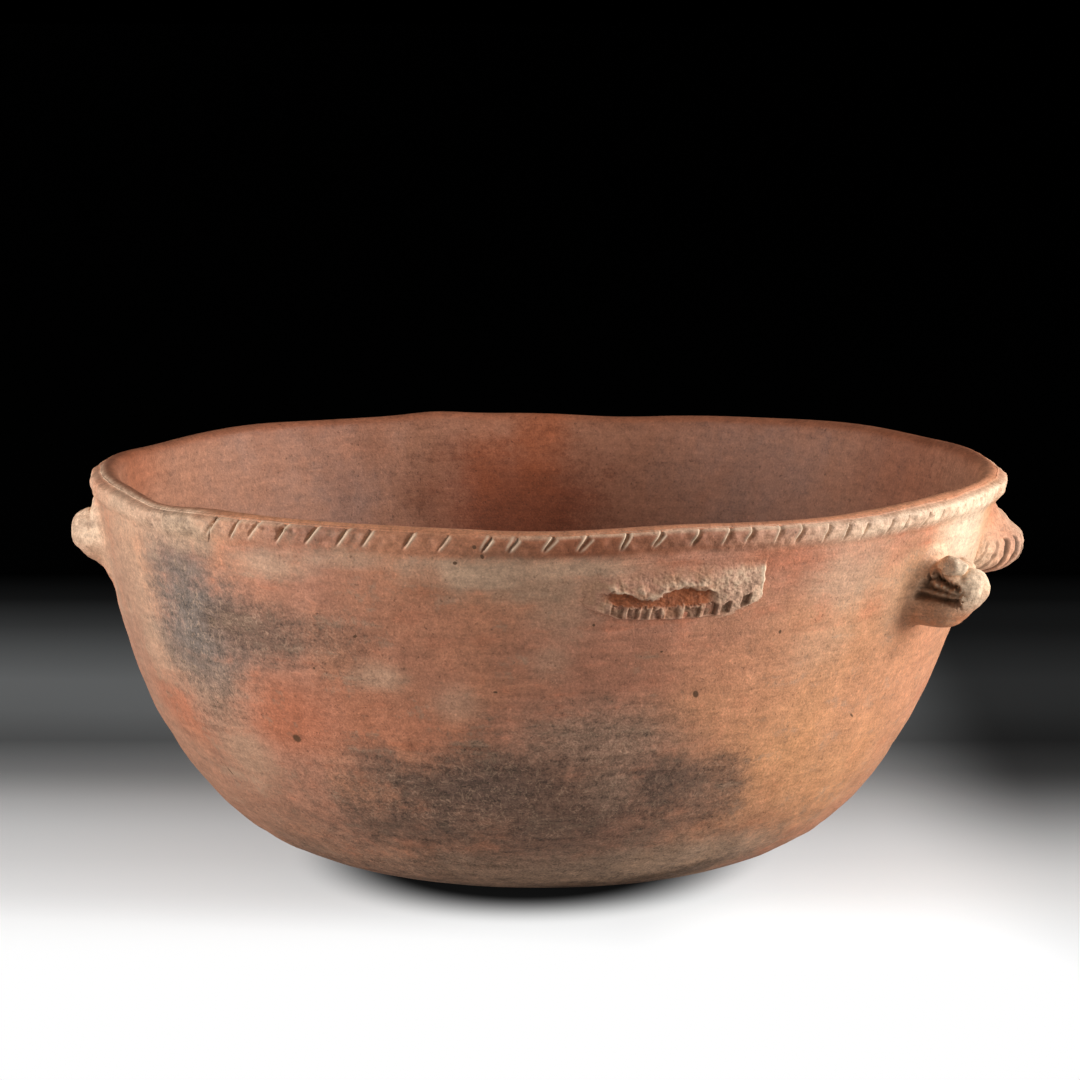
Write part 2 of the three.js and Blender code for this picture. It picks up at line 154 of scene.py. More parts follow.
def hand_relief(points):
    """Unevenness that the potter's hand leaves, in millimetres: wide, middling and fine noise,
    which fades out under the foot."""
    uneven = 0.2 * clay_noise(points, 46, 3) + 0.13 * clay_noise(points, 17, 5)
    uneven += 0.055 * clay_noise(points, 6.5, 7)
    return uneven * smooth(0, 14, points[..., 2])


def on_wall(angle, along, rise):
    """Point at an angle and a distance along the wall's outside, raised square to the wall by a
    height over the uneven clay."""
    radius, height = wall(along, 0)
    base = turn_about(angle, radius, height)
    out = np.interp(along, ALONG, RUN_UP)
    down = np.interp(along, ALONG, RUN_OUT)
    return base + turn_about(angle, out, -down) * (hand_relief(base) + rise)[..., None]


def at_height(height):
    """Distance along the wall at which its outside reaches a height."""
    return np.interp(height, WALL_HEIGHT, ALONG)


def hand_shape(points):
    """The plan swells into lobes by the square of the height, the belly leans to -X by a half sine of
    it, and the lip rises and dips by its eighth power."""
    angle = np.degrees(np.arctan2(points[..., 1], points[..., 0]))
    lift = points[..., 2] / HEIGHT
    swell = sum(
        size * np.cos(np.radians(lobes * (angle - towards))) for lobes, size, towards in PLAN_LOBES)
    rise = sum(
        size * bump((angle - at + 180) % 360 - 180, 0, width) for at, size, width in LIP_WAVES)
    shaped = points.copy()
    shaped[..., :2] *= (1 + swell / 100 * lift ** 2)[..., None]
    shaped[..., 0] -= BELLY_LEAN * np.sin(np.pi * lift)
    shaped[..., 2] += rise / 100 * HEIGHT * np.abs(lift) ** LIP_WAVE_FADE
    return shaped


def level_axes(angle):
    """Level directions at an angle about Z: out of the wall, and along it."""
    spin = math.radians(angle)
    return (np.array([math.cos(spin), math.sin(spin), 0]),
            np.array([-math.sin(spin), math.cos(spin), 0]))


def read_curve(table, count):
    """Rows read at even steps off a Catmull-Rom curve through a table's rows."""
    table = np.asarray(table, float)
    padded = np.vstack([2 * table[0] - table[1], table, 2 * table[-1] - table[-2]])
    place = np.linspace(0, len(table) - 1, count)
    start = np.minimum(place.astype(int), len(table) - 2)
    t = (place - start)[:, None]
    a, b, c, d = (padded[start + k] for k in range(4))
    return 0.5 * (2 * b + (c - a) * t + (2 * a - 5 * b + 4 * c - d) * t ** 2
                  + (3 * b - a - 3 * c + d) * t ** 3)


def clay_piece(name, shape, finish, nodes):
    """Closed skin over rows of closed rings: each ring is joined to the next, and a fan about the
    middle of each end ring closes it. A shape is its rings and marks, and marks are values from 0 to 1
    at the rings' points."""
    rings, marks = shape
    rows, sides = rings.shape[:2]
    points = hand_shape(rings).reshape(-1, 3)
    first, last = points[:sides].mean(axis=0), points[-sides:].mean(axis=0)
    points = np.vstack([points, first, last]) * MM
    number = np.arange(rows * sides).reshape(rows, sides)
    beside = np.roll(number, -1, axis=1)
    quads = np.stack([number[:-1], beside[:-1], beside[1:], number[1:]], axis=-1).reshape(-1, 4)
    ends = np.full(sides, rows * sides)
    fans = np.vstack([
        np.stack([ends, beside[0], number[0]], axis=-1),
        np.stack([ends + 1, number[-1], beside[-1]], axis=-1),
    ])
    halves = np.vstack([quads[:, [0, 1, 2]], quads[:, [0, 2, 3]], fans])
    a, b, c = (points[halves[:, k]] for k in range(3))
    if np.einsum("ij,ij->i", a, np.cross(b, c)).sum() < 0:
        quads, fans = quads[:, ::-1], fans[:, ::-1]
    mesh = bpy.data.meshes.new(name)
    mesh.from_pydata(points.tolist(), [], quads.tolist() + fans.tolist())
    mesh.shade_smooth()
    for mark, values in marks.items():
        flat = np.clip(np.broadcast_to(values, (rows, sides)), 0, 1).reshape(-1)
        ends_mean = [flat[:sides].mean(), flat[-sides:].mean()]
        attribute = mesh.attributes.new(mark, "FLOAT", "POINT")
        attribute.data.foreach_set("value", np.append(flat, ends_mean).astype(np.float32))
    mesh.materials.append(finish)
    piece = bpy.data.objects.new(name, mesh)
    bpy.context.scene.collection.objects.link(piece)
    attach(piece, "root")
    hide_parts(*nodes)


# Vessel
STRIP_TOP = WALL_LENGTH - STRIP_TOP_DROP
STRIP_LOW = STRIP_TOP - STRIP_HEIGHT
REBATE = 1.9
FRONT_COLUMNS = 330
BACK_COLUMNS = 208


def vessel_rings():
    """Section of the pot run from the middle of its foot, up the outside, over the half-round lip and
    down the inside to the middle of its floor, turned about Z. The outside is cut back under the
    strip. Columns stand closer together at the front."""
    angles = np.concatenate([
        np.linspace(-180, 0, FRONT_COLUMNS, endpoint=False),
        np.linspace(0, 180, BACK_COLUMNS, endpoint=False),
    ])
    foot = np.linspace(1.5, FOOT_RADIUS, 9)[:-1]
    low = np.linspace(0, STRIP_LOW - 0.6, 84)
    band = np.array([-0.2, 0.3, 0.75, 1, 1.3, 1.7, 3, 4.6]) + STRIP_LOW
    turns = np.radians([0, 14, 26, 34, 40, 46, 54, 64, 76, 90, 104, 120, 136, 152, 166, 180])
    lip = WALL_LENGTH - LIP_ROUND + LIP_ROUND * np.sin(turns)
    down = np.linspace(WALL_LENGTH - LIP_ROUND, 0, 56)[1:]
    floor = np.linspace(FOOT_RADIUS, 1.5, 9)[1:]
    along = np.concatenate([low, band, lip, down])
    half = RIM_THICKNESS / 2
    depth = np.concatenate([
        np.zeros(len(low) + len(band)),
        half - half * np.cos(turns),
        BASE_THICKNESS + (RIM_THICKNESS - BASE_THICKNESS) * down / WALL_LENGTH,
    ])
    outside = np.arange(len(along)) < len(low) + len(band) + 7
    rebate = within(along, STRIP_LOW + 1, STRIP_LOW + 1.7, STRIP_TOP - 0.5, STRIP_TOP + 0.1)
    radius, height = wall(along, depth + np.where(outside, REBATE * rebate, 0))
    facing = np.where(outside, 1, np.cos(np.interp(depth, [0, RIM_THICKNESS], [0, np.pi])))
    out = np.interp(along, ALONG, RUN_UP) * facing
    up = -np.interp(along, ALONG, RUN_OUT) * facing

    def with_floors(under, middle, over):
        """Values along the wall, with one under the foot and one over the inside's floor."""
        return np.concatenate([np.full(len(foot), under), middle, np.full(len(floor), over)])

    radius = np.concatenate([foot, radius, floor])
    height = with_floors(0, height, BASE_THICKNESS)
    out = with_floors(0, out, 0)
    up = with_floors(0, up, 1)
    inside = with_floors(0, smooth(0.5, 3.5, depth), 1)
    lip_mark = with_floors(0, smooth(WALL_LENGTH - 4.5, WALL_LENGTH - 1, along), 0)
    rings = turn_about(angles[None, :], radius[:, None], height[:, None])
    normals = turn_about(angles[None, :], out[:, None], up[:, None])
    uneven = hand_relief(rings)
    # Glow: a painted highlight along the lip's top, in bright orange over the lip's red.
    glow = np.interp(angles, [-180, -150, -118, -108, -60, -45, -5, 8, 172, 180],
                     [0, 0.1, 1, 0.7, 0.5, 0.8, 0.5, 0, 0, 0])
    red = np.interp(angles, [-180, -165, -140, -125, 0, 170, 180],
                    [0.5, 0.3, 0.3, 0.7, 0.7, 0.7, 0.5])
    # Painted light: the top of the lip's outer half is paled at the left end, where it lies in shade.
    paleness = np.interp(angles, [-180, -174, -136, -131, 174, 180], [0.6, 0.8, 0.8, 0, 0, 0.6])
    return rings + normals * uneven[..., None], {
        "pale_and_lit": lip_mark[:, None] * paleness * (1 - inside)[:, None],
        "inside": inside[:, None],
        "lip": lip_mark[:, None] * (1 - glow) * red,
        "glow": lip_mark[:, None] * glow,
    }


# Notched strip
STRIP_LAPS = (-132, 48)
DEEPEST_SLIT = 1.35
FRONT_SLITS = [
    -131.7, -128, -125, -121, -117, -113, -110, -105, -101, -96, -93, -89, -85, -80, -76, -71, -67, -64,
    -60, -57, -53, -50, -47, -43, -40, -36, -33, -30, -27.6, -25.2, -22.9, -20.5, -18.2, -15.9, -13.6,
    -11.2, -9, -6.6, -4.2, -1.9,
]
BACK_SLIT_PITCH = 3.75
# Slits that are deeper than the rest, by their whole degree
DEEP_SLITS = {-96: 1.35, -80: 1.5, -121: 1.2, -117: 1.25, -105: 1.2, -64: 1.3}


def all_slits():
    """Slits at the front where they are cut, and at an even pitch round the back, each as its angle,
    depth, width, half length, slant, distance down the strip and whether both its edges are raised.
    They are long at the left end, and faint at the right, where the strip is fullest."""
    draw = np.random.default_rng(11)
    slits = []
    for angle in np.concatenate([FRONT_SLITS, np.arange(2, 181, BACK_SLIT_PITCH)]):
        depth = DEEP_SLITS.get(int(angle), 1) * draw.uniform(0.8, 1.1)
        depth *= np.interp(angle, [-30, -27, -21, -17, 1, 4], [1, 0.55, 0.45, 0.28, 0.28, 1])
        half = np.interp(angle, [-128, -110, -98, -60, -45], [4, 3.3, 2.8, 2.8, 3.1])
        down = np.interp(angle, [-130, -125, -105, -85, -60, -45], [2.5, 2, 1.9, 1.8, 1.9, 3.7])
        slant = NOTCH_SLANT - 11 * smooth(-86, -112, angle)
        slits.append((
            angle, 0.95 * depth, draw.uniform(0.9, 1.6), half * draw.uniform(0.88, 1.1),
            slant + draw.uniform(-4, 7), down + draw.uniform(-0.2, 0.2), -98 < angle < -75))
    return slits


def strip_proud(angle):
    """Height of the strip's back over the wall: lowest at the front, fuller at both sides."""
    knots = [-180, -160, -145, -133, -120, -100, -85, -70, -60, -40, -20, 0, 25, 60, 120, 160, 180]
    heights = [1.7, 1.6, 1.1, 0.8, 0.55, 0.5, 0.5, 0.65, 0.8, 1.1, 1.6, 1.8, 1.5, 1.1, 1.1, 1.5, 1.7]
    return np.interp((angle + 180) % 360 - 180, knots, heights)


def strip_rings(start, end, stations):
    """Section of the strip at each station: a low rounded back that hugs the lip's curve and fades
    into the wall below, closed by a face sunk in the wall. Each slanted slit is a wedge with one steep
    side and one that ramps, wide at the top and narrow at the bottom. The strip's smooth left end is
    only rippled, and its right end has fine upright creases."""
    down = np.concatenate([np.linspace(-0.55, 2.2, 13), np.linspace(2.5, 8.3, 20)])
    back = np.linspace(7.6, 0.4, 5)
    down_all = np.concatenate([down, back])
    stations = np.linspace(start, end, stations)[:, None]
    middle = STRIP_HEIGHT / 2
    lean = (middle - down_all) / math.tan(math.radians(NOTCH_SLANT))
    seam = np.minimum(stations - start, end - stations) * math.radians(RIM_RADIUS)
    angle = stations + np.degrees(lean / RIM_RADIUS)
    arc = np.radians(angle) * RIM_RADIUS
    into_lip = np.clip(LIP_ROUND - STRIP_TOP_DROP - down_all, 0, None)
    lip_depth = LIP_ROUND - np.sqrt(LIP_ROUND ** 2 - into_lip ** 2)
    crown = within(down_all, -0.5, 0.6, 3.1, 7.2)
    sunk = 0.6 * smooth(-0.1, -0.55, down_all) + 0.3 * smooth(7, 8.3, down_all)
    flat = turn_about(angle, RIM_RADIUS, HEIGHT - down_all)
    turned = (angle + 180) % 360 - 180
    left_end = smooth(-129.5, -133, turned)
    right_end = within(turned, -24, -14, 4, 12)
    ripple = clay_noise(np.stack([arc, 0 * arc, 0.35 * (0 * arc + down_all)], axis=-1), 5.5, 21)
    crease = clay_noise(np.stack([arc - 0.3 * down_all, 0 * arc, 0 * arc], axis=-1), 1.7, 22)
    lumps = clay_noise(flat, 3.4, 23)
    near_lip = bump(turned, -123, 5) * bump(down_all, 0.9, 0.8)
    rise = strip_proud(angle) * crown - lip_depth - sunk
    rise = rise + crown * (0.09 * lumps + 0.2 * left_end * ripple + 0.075 * right_end * crease)
    rise = rise + 0.3 * near_lip * clay_noise(flat, 2.2, 24)
    rise -= 0.25 * smooth(0.9, 0, seam) * crown
    shaded_hollow = np.zeros_like(rise)
    painted_highlight = np.zeros_like(rise)
    for place, depth, width, half, slant, low, double in all_slits():
        away = (arc - math.radians(place) * RIM_RADIUS + math.pi * RIM_RADIUS) % (
            2 * math.pi * RIM_RADIUS) - math.pi * RIM_RADIUS
        up = low - down_all
        slope = math.radians(slant)
        across = (away * math.sin(slope) - up * math.cos(slope)) * (1 if place < -90 else -1)
        run = (away * math.cos(slope) + up * math.sin(slope)) / half
        narrow = 0.75 + 0.35 * np.clip(run, -1, 1)
        reach = within(run, -1.05, -0.2, 0.8, 1.05) * crown ** 0.2
        ramp = np.clip(1 + across / (width * narrow), 0, 1) ** 1.3
        wedge = np.where(across < 0, ramp, np.clip(1 - across / 0.42, 0, 1)) * reach
        burr = bump(across, 0.6, 0.3) * reach
        rise += 0.14 * burr * min(1, depth) - depth * wedge
        # Painted shade on each slit's ramped side, stronger towards its wide top.
        shaded = wedge * min(1, depth) * smooth(0.3, -0.1, across) * np.clip(0.75 + 0.35 * run, 0, 1)
        shaded_hollow = np.maximum(shaded_hollow, shaded)
        # Painted highlight along each slit's steep side, and along the second raised edge of a double
        # slit.
        lit = bump(across, 0.4, 0.52)
        if double:
            lit = lit + 0.8 * bump(across, -width * narrow - 0.1, 0.36)
            rise += 0.1 * bump(across, -width * narrow - 0.1, 0.36) * reach
        painted_highlight = np.maximum(painted_highlight, lit * reach * min(1, depth))
    rise = np.maximum(rise, -DEEPEST_SLIT)
    rise[:, len(down):] = -BURIED
    along = STRIP_TOP - down_all
    pale_and_lit = np.interp(turned, [-180, -133, -118, -84, -70, -58, -50, -42, -14, -4, 25, 60, 180],
                     [0.2, 0.2, 0.03, 0, 0.08, 0.25, 0.55, 0.85, 0.85, 0.45, 0.4, 0.3, 0.2])
    red = np.interp(turned, [-128, -118, -108, -96, -86, -70, -58, -48, -38],
                    [0, 0.25, 0.15, 0.5, 0.95, 0.9, 0.6, 0.3, 0])
    # A darker band in the middle of the strip's front, put into the same mark as the painted slit shade.
    darkest = np.interp(turned, [-98, -92, -74, -64], [0, 1, 1, 0])
    shaded_hollow = shaded_hollow + 0.22 * darkest * within(down_all, 0.4, 1.4, 4.6, 6.6)
    crest = np.interp(turned, [-134, -130, -120, -114, -98, -92, -60, -50, -20],
                      [0, 0.3, 0.3, 0, 0, 0.35, 0.45, 0.25, 0]) * smooth(0.7, 0, down_all)
    return on_wall(angle, along + 0 * angle, rise), {
        "shaded_hollow": shaded_hollow,
        "painted_highlight": painted_highlight,
        "pale_and_lit": pale_and_lit * crown * smooth(7.5, 5, down_all) + crest,
        "lip": red * within(down_all, -0.2, 0.4, 4.4, 6.3),
    }


# Effigy's lugs
def lug_rings(angle, drop, table, rings, sides, carve):
    """Rounded rings across an axis that points out of the wall, read off a table of distance out,
    centre height, half height, half width and squareness. Low rings follow the wall's own curve, and
    further out they stand upright. Carve changes them and gives their marks."""
    root_along = at_height(HEIGHT - drop)
    root_radius, root_height = wall(root_along, 0)
    out, lift, tall, wide, square = read_curve(table, rings).T[:, :, None]
    turn = np.linspace(0, 2 * np.pi, sides, endpoint=False)[None, :]
    side = wide * np.sign(np.cos(turn)) * np.abs(np.cos(turn)) ** (2 / square)
    up = lift + tall * np.sign(np.sin(turn)) * np.abs(np.sin(turn)) ** (2 / square)
    local = np.stack(np.broadcast_arrays(out, side, up), axis=-1)
    local, marks = carve(local)
    out, side, up = np.moveaxis(local, -1, 0)
    on_clay = on_wall(angle + np.degrees(side / root_radius), at_height(root_height + up), 0 * up)
    outward, across = level_axes(angle)
    upright = outward * root_radius + side[..., None] * across
    upright = upright + (root_height + up)[..., None] * UPWARD
    stand = smooth(*STAND, out)[..., None]
    return on_clay * (1 - stand) + upright * stand + out[..., None] * outward, marks


def skin_normals(grid):
    """Unit normals of a grid of rings, from the cross product of its two differences."""
    around = np.roll(grid, -1, axis=1) - np.roll(grid, 1, axis=1)
    normal = np.cross(around, np.gradient(grid, axis=0))
    return normal / np.maximum(np.linalg.norm(normal, axis=-1, keepdims=True), 1e-9)


HEAD_TABLE = [
    (-0.9, 1.9, 13, 11, 2), (0, 1.6, 11.4, 9.8, 2), (0.5, 1.3, 10.6, 9, 2.05),
    (1.3, 0.9, 9.9, 8.4, 2.1), (2.6, 0.4, 9.4, 8, 2.2), (4.5, 0.1, 9.2, 7.8, 2.3),
    (7, 0, 9.1, 7.7, 2.35), (9.5, 0.3, 8.7, 7.3, 2.35), (12, 1, 7.3, 6.5, 2.3),
    (14, 1.5, 6, 5.6, 2.2), (16, 1.8, 4.5, 4.6, 2.1), (17.4, 1.9, 3.1, 3.3, 2),
    (18, 1.9, 1.9, 2, 2), (18.3, 1.9, 0.5, 0.5, 2),
]
# Mouth's middle, by its distance out and height, and its slope; the eyes' places and half sizes
MOUTH_OUT = 7.8
MOUTH_UP = -0.5
MOUTH_SLOPE = -10
EYE_PLACE = (9.8, 3.9, 7.8)
EYE_SIZE = (4, 2.5, 3)
FAR_EYE_PLACE = (8.6, 4.5, 6.2)
FAR_EYE_SIZE = (3.3, 2.4, 2.7)


def head_carve(local):
    """Mouth and cheek pressed into both flanks: a long groove that slopes down to the snout, a rough
    hollow above it with a thin lip between them, and a curved nick at the back of each eye, all sunk
    square to the skin."""
    out, side, up = np.moveaxis(local, -1, 0)
    normal = skin_normals(local)
    flank = smooth(2, 4.5, np.abs(side))
    slope = math.radians(MOUTH_SLOPE)
    run = (out - MOUTH_OUT) * math.cos(slope) + (up - MOUTH_UP) * math.sin(slope)
    rise = (up - MOUTH_UP) * math.cos(slope) - (out - MOUTH_OUT) * math.sin(slope)
    rough = clay_noise(local, 2.1, 31) + 0.6 * clay_noise(local, 1, 32)
    front = smooth(6.5, 5.5, run + 0.35 * rough)
    groove = smooth(-6.8, -5, run) * front * bump(rise, -0.2, 1.25) * flank
    top = 5.9 - 0.05 * (run + 1) ** 2 + 0.4 * rough
    shaded_hollow = smooth(-6.8, -4.4, run) * front * smooth(1, 1.9, rise) * smooth(top + 0.5, top - 0.6, rise)
    shaded_hollow *= flank
    eye_out, eye_side, eye_up = EYE_PLACE
    to_eye = np.sqrt((out - eye_out) ** 2 + (np.abs(side) - eye_side) ** 2 + (up - eye_up) ** 2)
    ring = bump(to_eye, 4, 0.5) * smooth(eye_out - 0.5, eye_out - 2, out) * flank
    ring *= smooth(eye_up + 0.5, eye_up - 1.5, up)
    torn = np.clip(groove + shaded_hollow, 0, 1)
    flake = bump(rise, 3.5 - 0.27 * run, 0.75) * smooth(-4.5, -3, run) * shaded_hollow
    sink = 2.5 * groove + 2.1 * shaded_hollow - 1.1 * flake + 0.9 * ring + 0.25 * rough * torn
    sink -= 0.4 * bump(rise, 1.35, 0.3) * smooth(6, 4.5, np.abs(run)) * flank
    sink += 0.9 * bump(out, 13, 1.3) * smooth(2.5, 6, up)
    sink += 0.06 * clay_noise(local, 5, 33) + 0.04 * clay_noise(local, 2.3, 34)
    sunk = local - normal * sink[..., None]
    # Painted light: the head pales towards the snout and on its upper part, and stays darker underneath.
    pale_and_lit = smooth(-0.4, 3, out) * (0.3 + 0.6 * smooth(11.5, 14.5, out)) * smooth(-7, 0, up)
    # Painted shade in the mouth's groove and hollow and in the nick behind each eye; painted highlight on
    # the thin lip between groove and hollow and on the flake.
    return sunk, {
        "shaded_hollow": np.clip(groove + 0.8 * shaded_hollow * (1 - 0.6 * flake) + 0.7 * ring, 0, 1),
        "painted_highlight": 0.8 * bump(rise, 1.35, 0.35) * shaded_hollow + 0.3 * flake,
        "pale_and_lit": pale_and_lit,
    }


HIND_TABLE = [
    (-0.9, 0, 16.4, 15, 2), (-0.1, 0.2, 14.8, 13.2, 2), (0.5, 0.4, 13.2, 11.4, 2),
    (1.25, 0.7, 11.4, 9.6, 2), (2.1, 1.2, 9.6, 8.2, 2), (3.7, 1.2, 7.8, 7, 2),
    (5.5, 1.8, 6.8, 6.3, 2.05), (7, 2.2, 5.7, 5.4, 2.1), (8.4, 2.4, 4.5, 4.4, 2.1),
    (9.4, 2.9, 3, 3, 2), (9.9, 3.3, 1.6, 1.6, 2), (10.1, 3.4, 0.4, 0.4, 2),
]


def hind_carve(local):
    """Soft finger marks on a smooth lug."""
    normal = skin_normals(local)
    marks = 0.14 * clay_noise(local, 7, 41) + 0.05 * clay_noise(local, 2.6, 42)
    # Painted light: the limb pales outwards and on its upper part, and stays darker underneath.
    return local - normal * marks[..., None], {
        "pale_and_lit": 0.7 * smooth(-0.4, 3, local[..., 0]) * smooth(-6, 2, local[..., 2])}


def eye_rings(near):
    """Flattened pellet: an ellipsoid with its lower half in the head, drawn out along the snout. The
    far one is smaller and sits further back."""
    place = np.array(EYE_PLACE) * [1, -1, 1] if near else np.array(FAR_EYE_PLACE)
    long, thick, tall = EYE_SIZE if near else FAR_EYE_SIZE
    turn = np.radians(np.linspace(4, 176, 34))[:, None]
    spin = np.linspace(0, 2 * np.pi, 48, endpoint=False)[None, :]
    ball = np.stack(np.broadcast_arrays(
        long * np.cos(turn), thick * np.sin(turn) * np.cos(spin), tall * np.sin(turn) * np.sin(spin)),
        axis=-1)
    ball += 0.2 * clay_noise(ball, 3.6, 51 + near)[..., None] * ball / 3
    local = ball + place
    root_radius, root_height = wall(at_height(HEIGHT - HEAD_DROP), 0)
    outward, across = level_axes(HEAD_ANGLE)
    rings = (local[..., :1] + root_radius) * outward + local[..., 1:2] * across + (
        local[..., 2:] + root_height) * UPWARD
    # Pale clay, paled fully on the near pellet as painted light on its shaded face.
    return rings, {"pale_and_lit": 1 if near else 0.55}


# Crescents
FLANGE_SECTION = [
    (-1.2, 15), (0, 13), (0.7, 11.6), (2, 10), (4.2, 8.6), (7.2, 6.6), (9, 4.7), (10.7, 3.2),
    (12.4, 1.7), (13.2, -0.1), (13.3, -2.1), (12.7, -4.2), (11.2, -6), (9.3, -7.3), (6.9, -8.3),
    (4.2, -9.2), (2.2, -10.1), (1.1, -11.3), (0.2, -12.8), (-1.2, -14.6),
]
# Cuts across the flange's edge: angle and depth
FLANGE_SLITS = [
    (-10.4, 0.35), (-8.8, 0.5), (-6.7, 1.7), (-4.3, 1.7), (-1.9, 1.2), (0.6, 1), (3.1, 0.9), (5.6, 1),
    (8.2, 0.8), (10.8, 0.5),
]


def flange_rings():
    """Crescent flange: one section whose reach swells and fades along the wall and whose height is
    drawn in towards its ends, closed by a face sunk in the wall. Slanted cuts cross its edge."""
    station = np.linspace(-1, 1, 440)[:, None]
    section = read_curve(FLANGE_SECTION, 84)
    full = np.clip(1 - station ** 2, 0, 1)
    angle = FLANGE_ANGLE + np.degrees(CRESCENT_HALF / RIM_RADIUS) * station
    out = section[:, 0] * np.where(section[:, 0] > 0, full ** 0.85, 1)
    up = section[:, 1] * (0.35 + 0.65 * full ** 0.5)
    local = np.stack(np.broadcast_arrays(out, angle * math.radians(RIM_RADIUS), up), axis=-1)
    edge = smooth(1.5, 5, section[:, 0])
    texture = 0.12 * clay_noise(local, 6, 61) + 0.07 * clay_noise(local, 2.4, 62)
    shaded_hollow = np.zeros(out.shape)
    cut = np.zeros(out.shape)
    for place, deep in FLANGE_SLITS:
        across = (angle - place) * math.radians(RIM_RADIUS + 10) - (up + 2.5) * 0.3
        reach = edge * within(up, -7.6, -6.4, 1.2, 2.6)
        groove = np.clip(2 - 1.6 * np.abs(across) / (0.15 + 0.62 * deep), 0, 1) * reach
        # Painted shade in each cut.
        painted_shade = np.clip(1.8 - 1.6 * np.abs(across - 0.4) / (0.2 + 0.62 * deep), 0, 1) * reach
        shaded_hollow = np.maximum(shaded_hollow, painted_shade * min(1, deep))
        cut = np.maximum(cut, 0.9 * deep * groove)
    out = out + texture * edge - cut
    root_radius, root_height = wall(at_height(HEIGHT - FLANGE_DROP), 0)
    height = root_height + up
    skin = on_wall(angle + 0 * out, at_height(height) + 0 * out, 0 * out)
    outward = turn_about(angle, 1, 0)
    upright = turn_about(angle, root_radius, height)
    stand = smooth(*STAND, out)[..., None]
    front = skin * (1 - stand) + upright * stand + out[..., None] * outward
    return front, {"shaded_hollow": shaded_hollow, "pale_and_lit": 0.15 * smooth(-0.3, 4, out)}


SCAR_ROWS = 110
# Cells of the scar's ledge: place round the wall, half width, depth and darkness of the painted shade in
# it
SCAR_CELLS = [
    (-14.3, 1.7, 0.8, 0.35), (-10.4, 1.3, 0.9, 0.55), (-7.2, 1, 0.6, 0.3), (-4, 1.2, 0.7, 0.4),
    (0.4, 1.8, 0.3, 0.1), (5.8, 2.1, 0.7, 0.5), (11.2, 1.8, 1.1, 0.9), (15.3, 1.2, 1, 0.8),
    (20.7, 1.1, 1.3, 1),
]


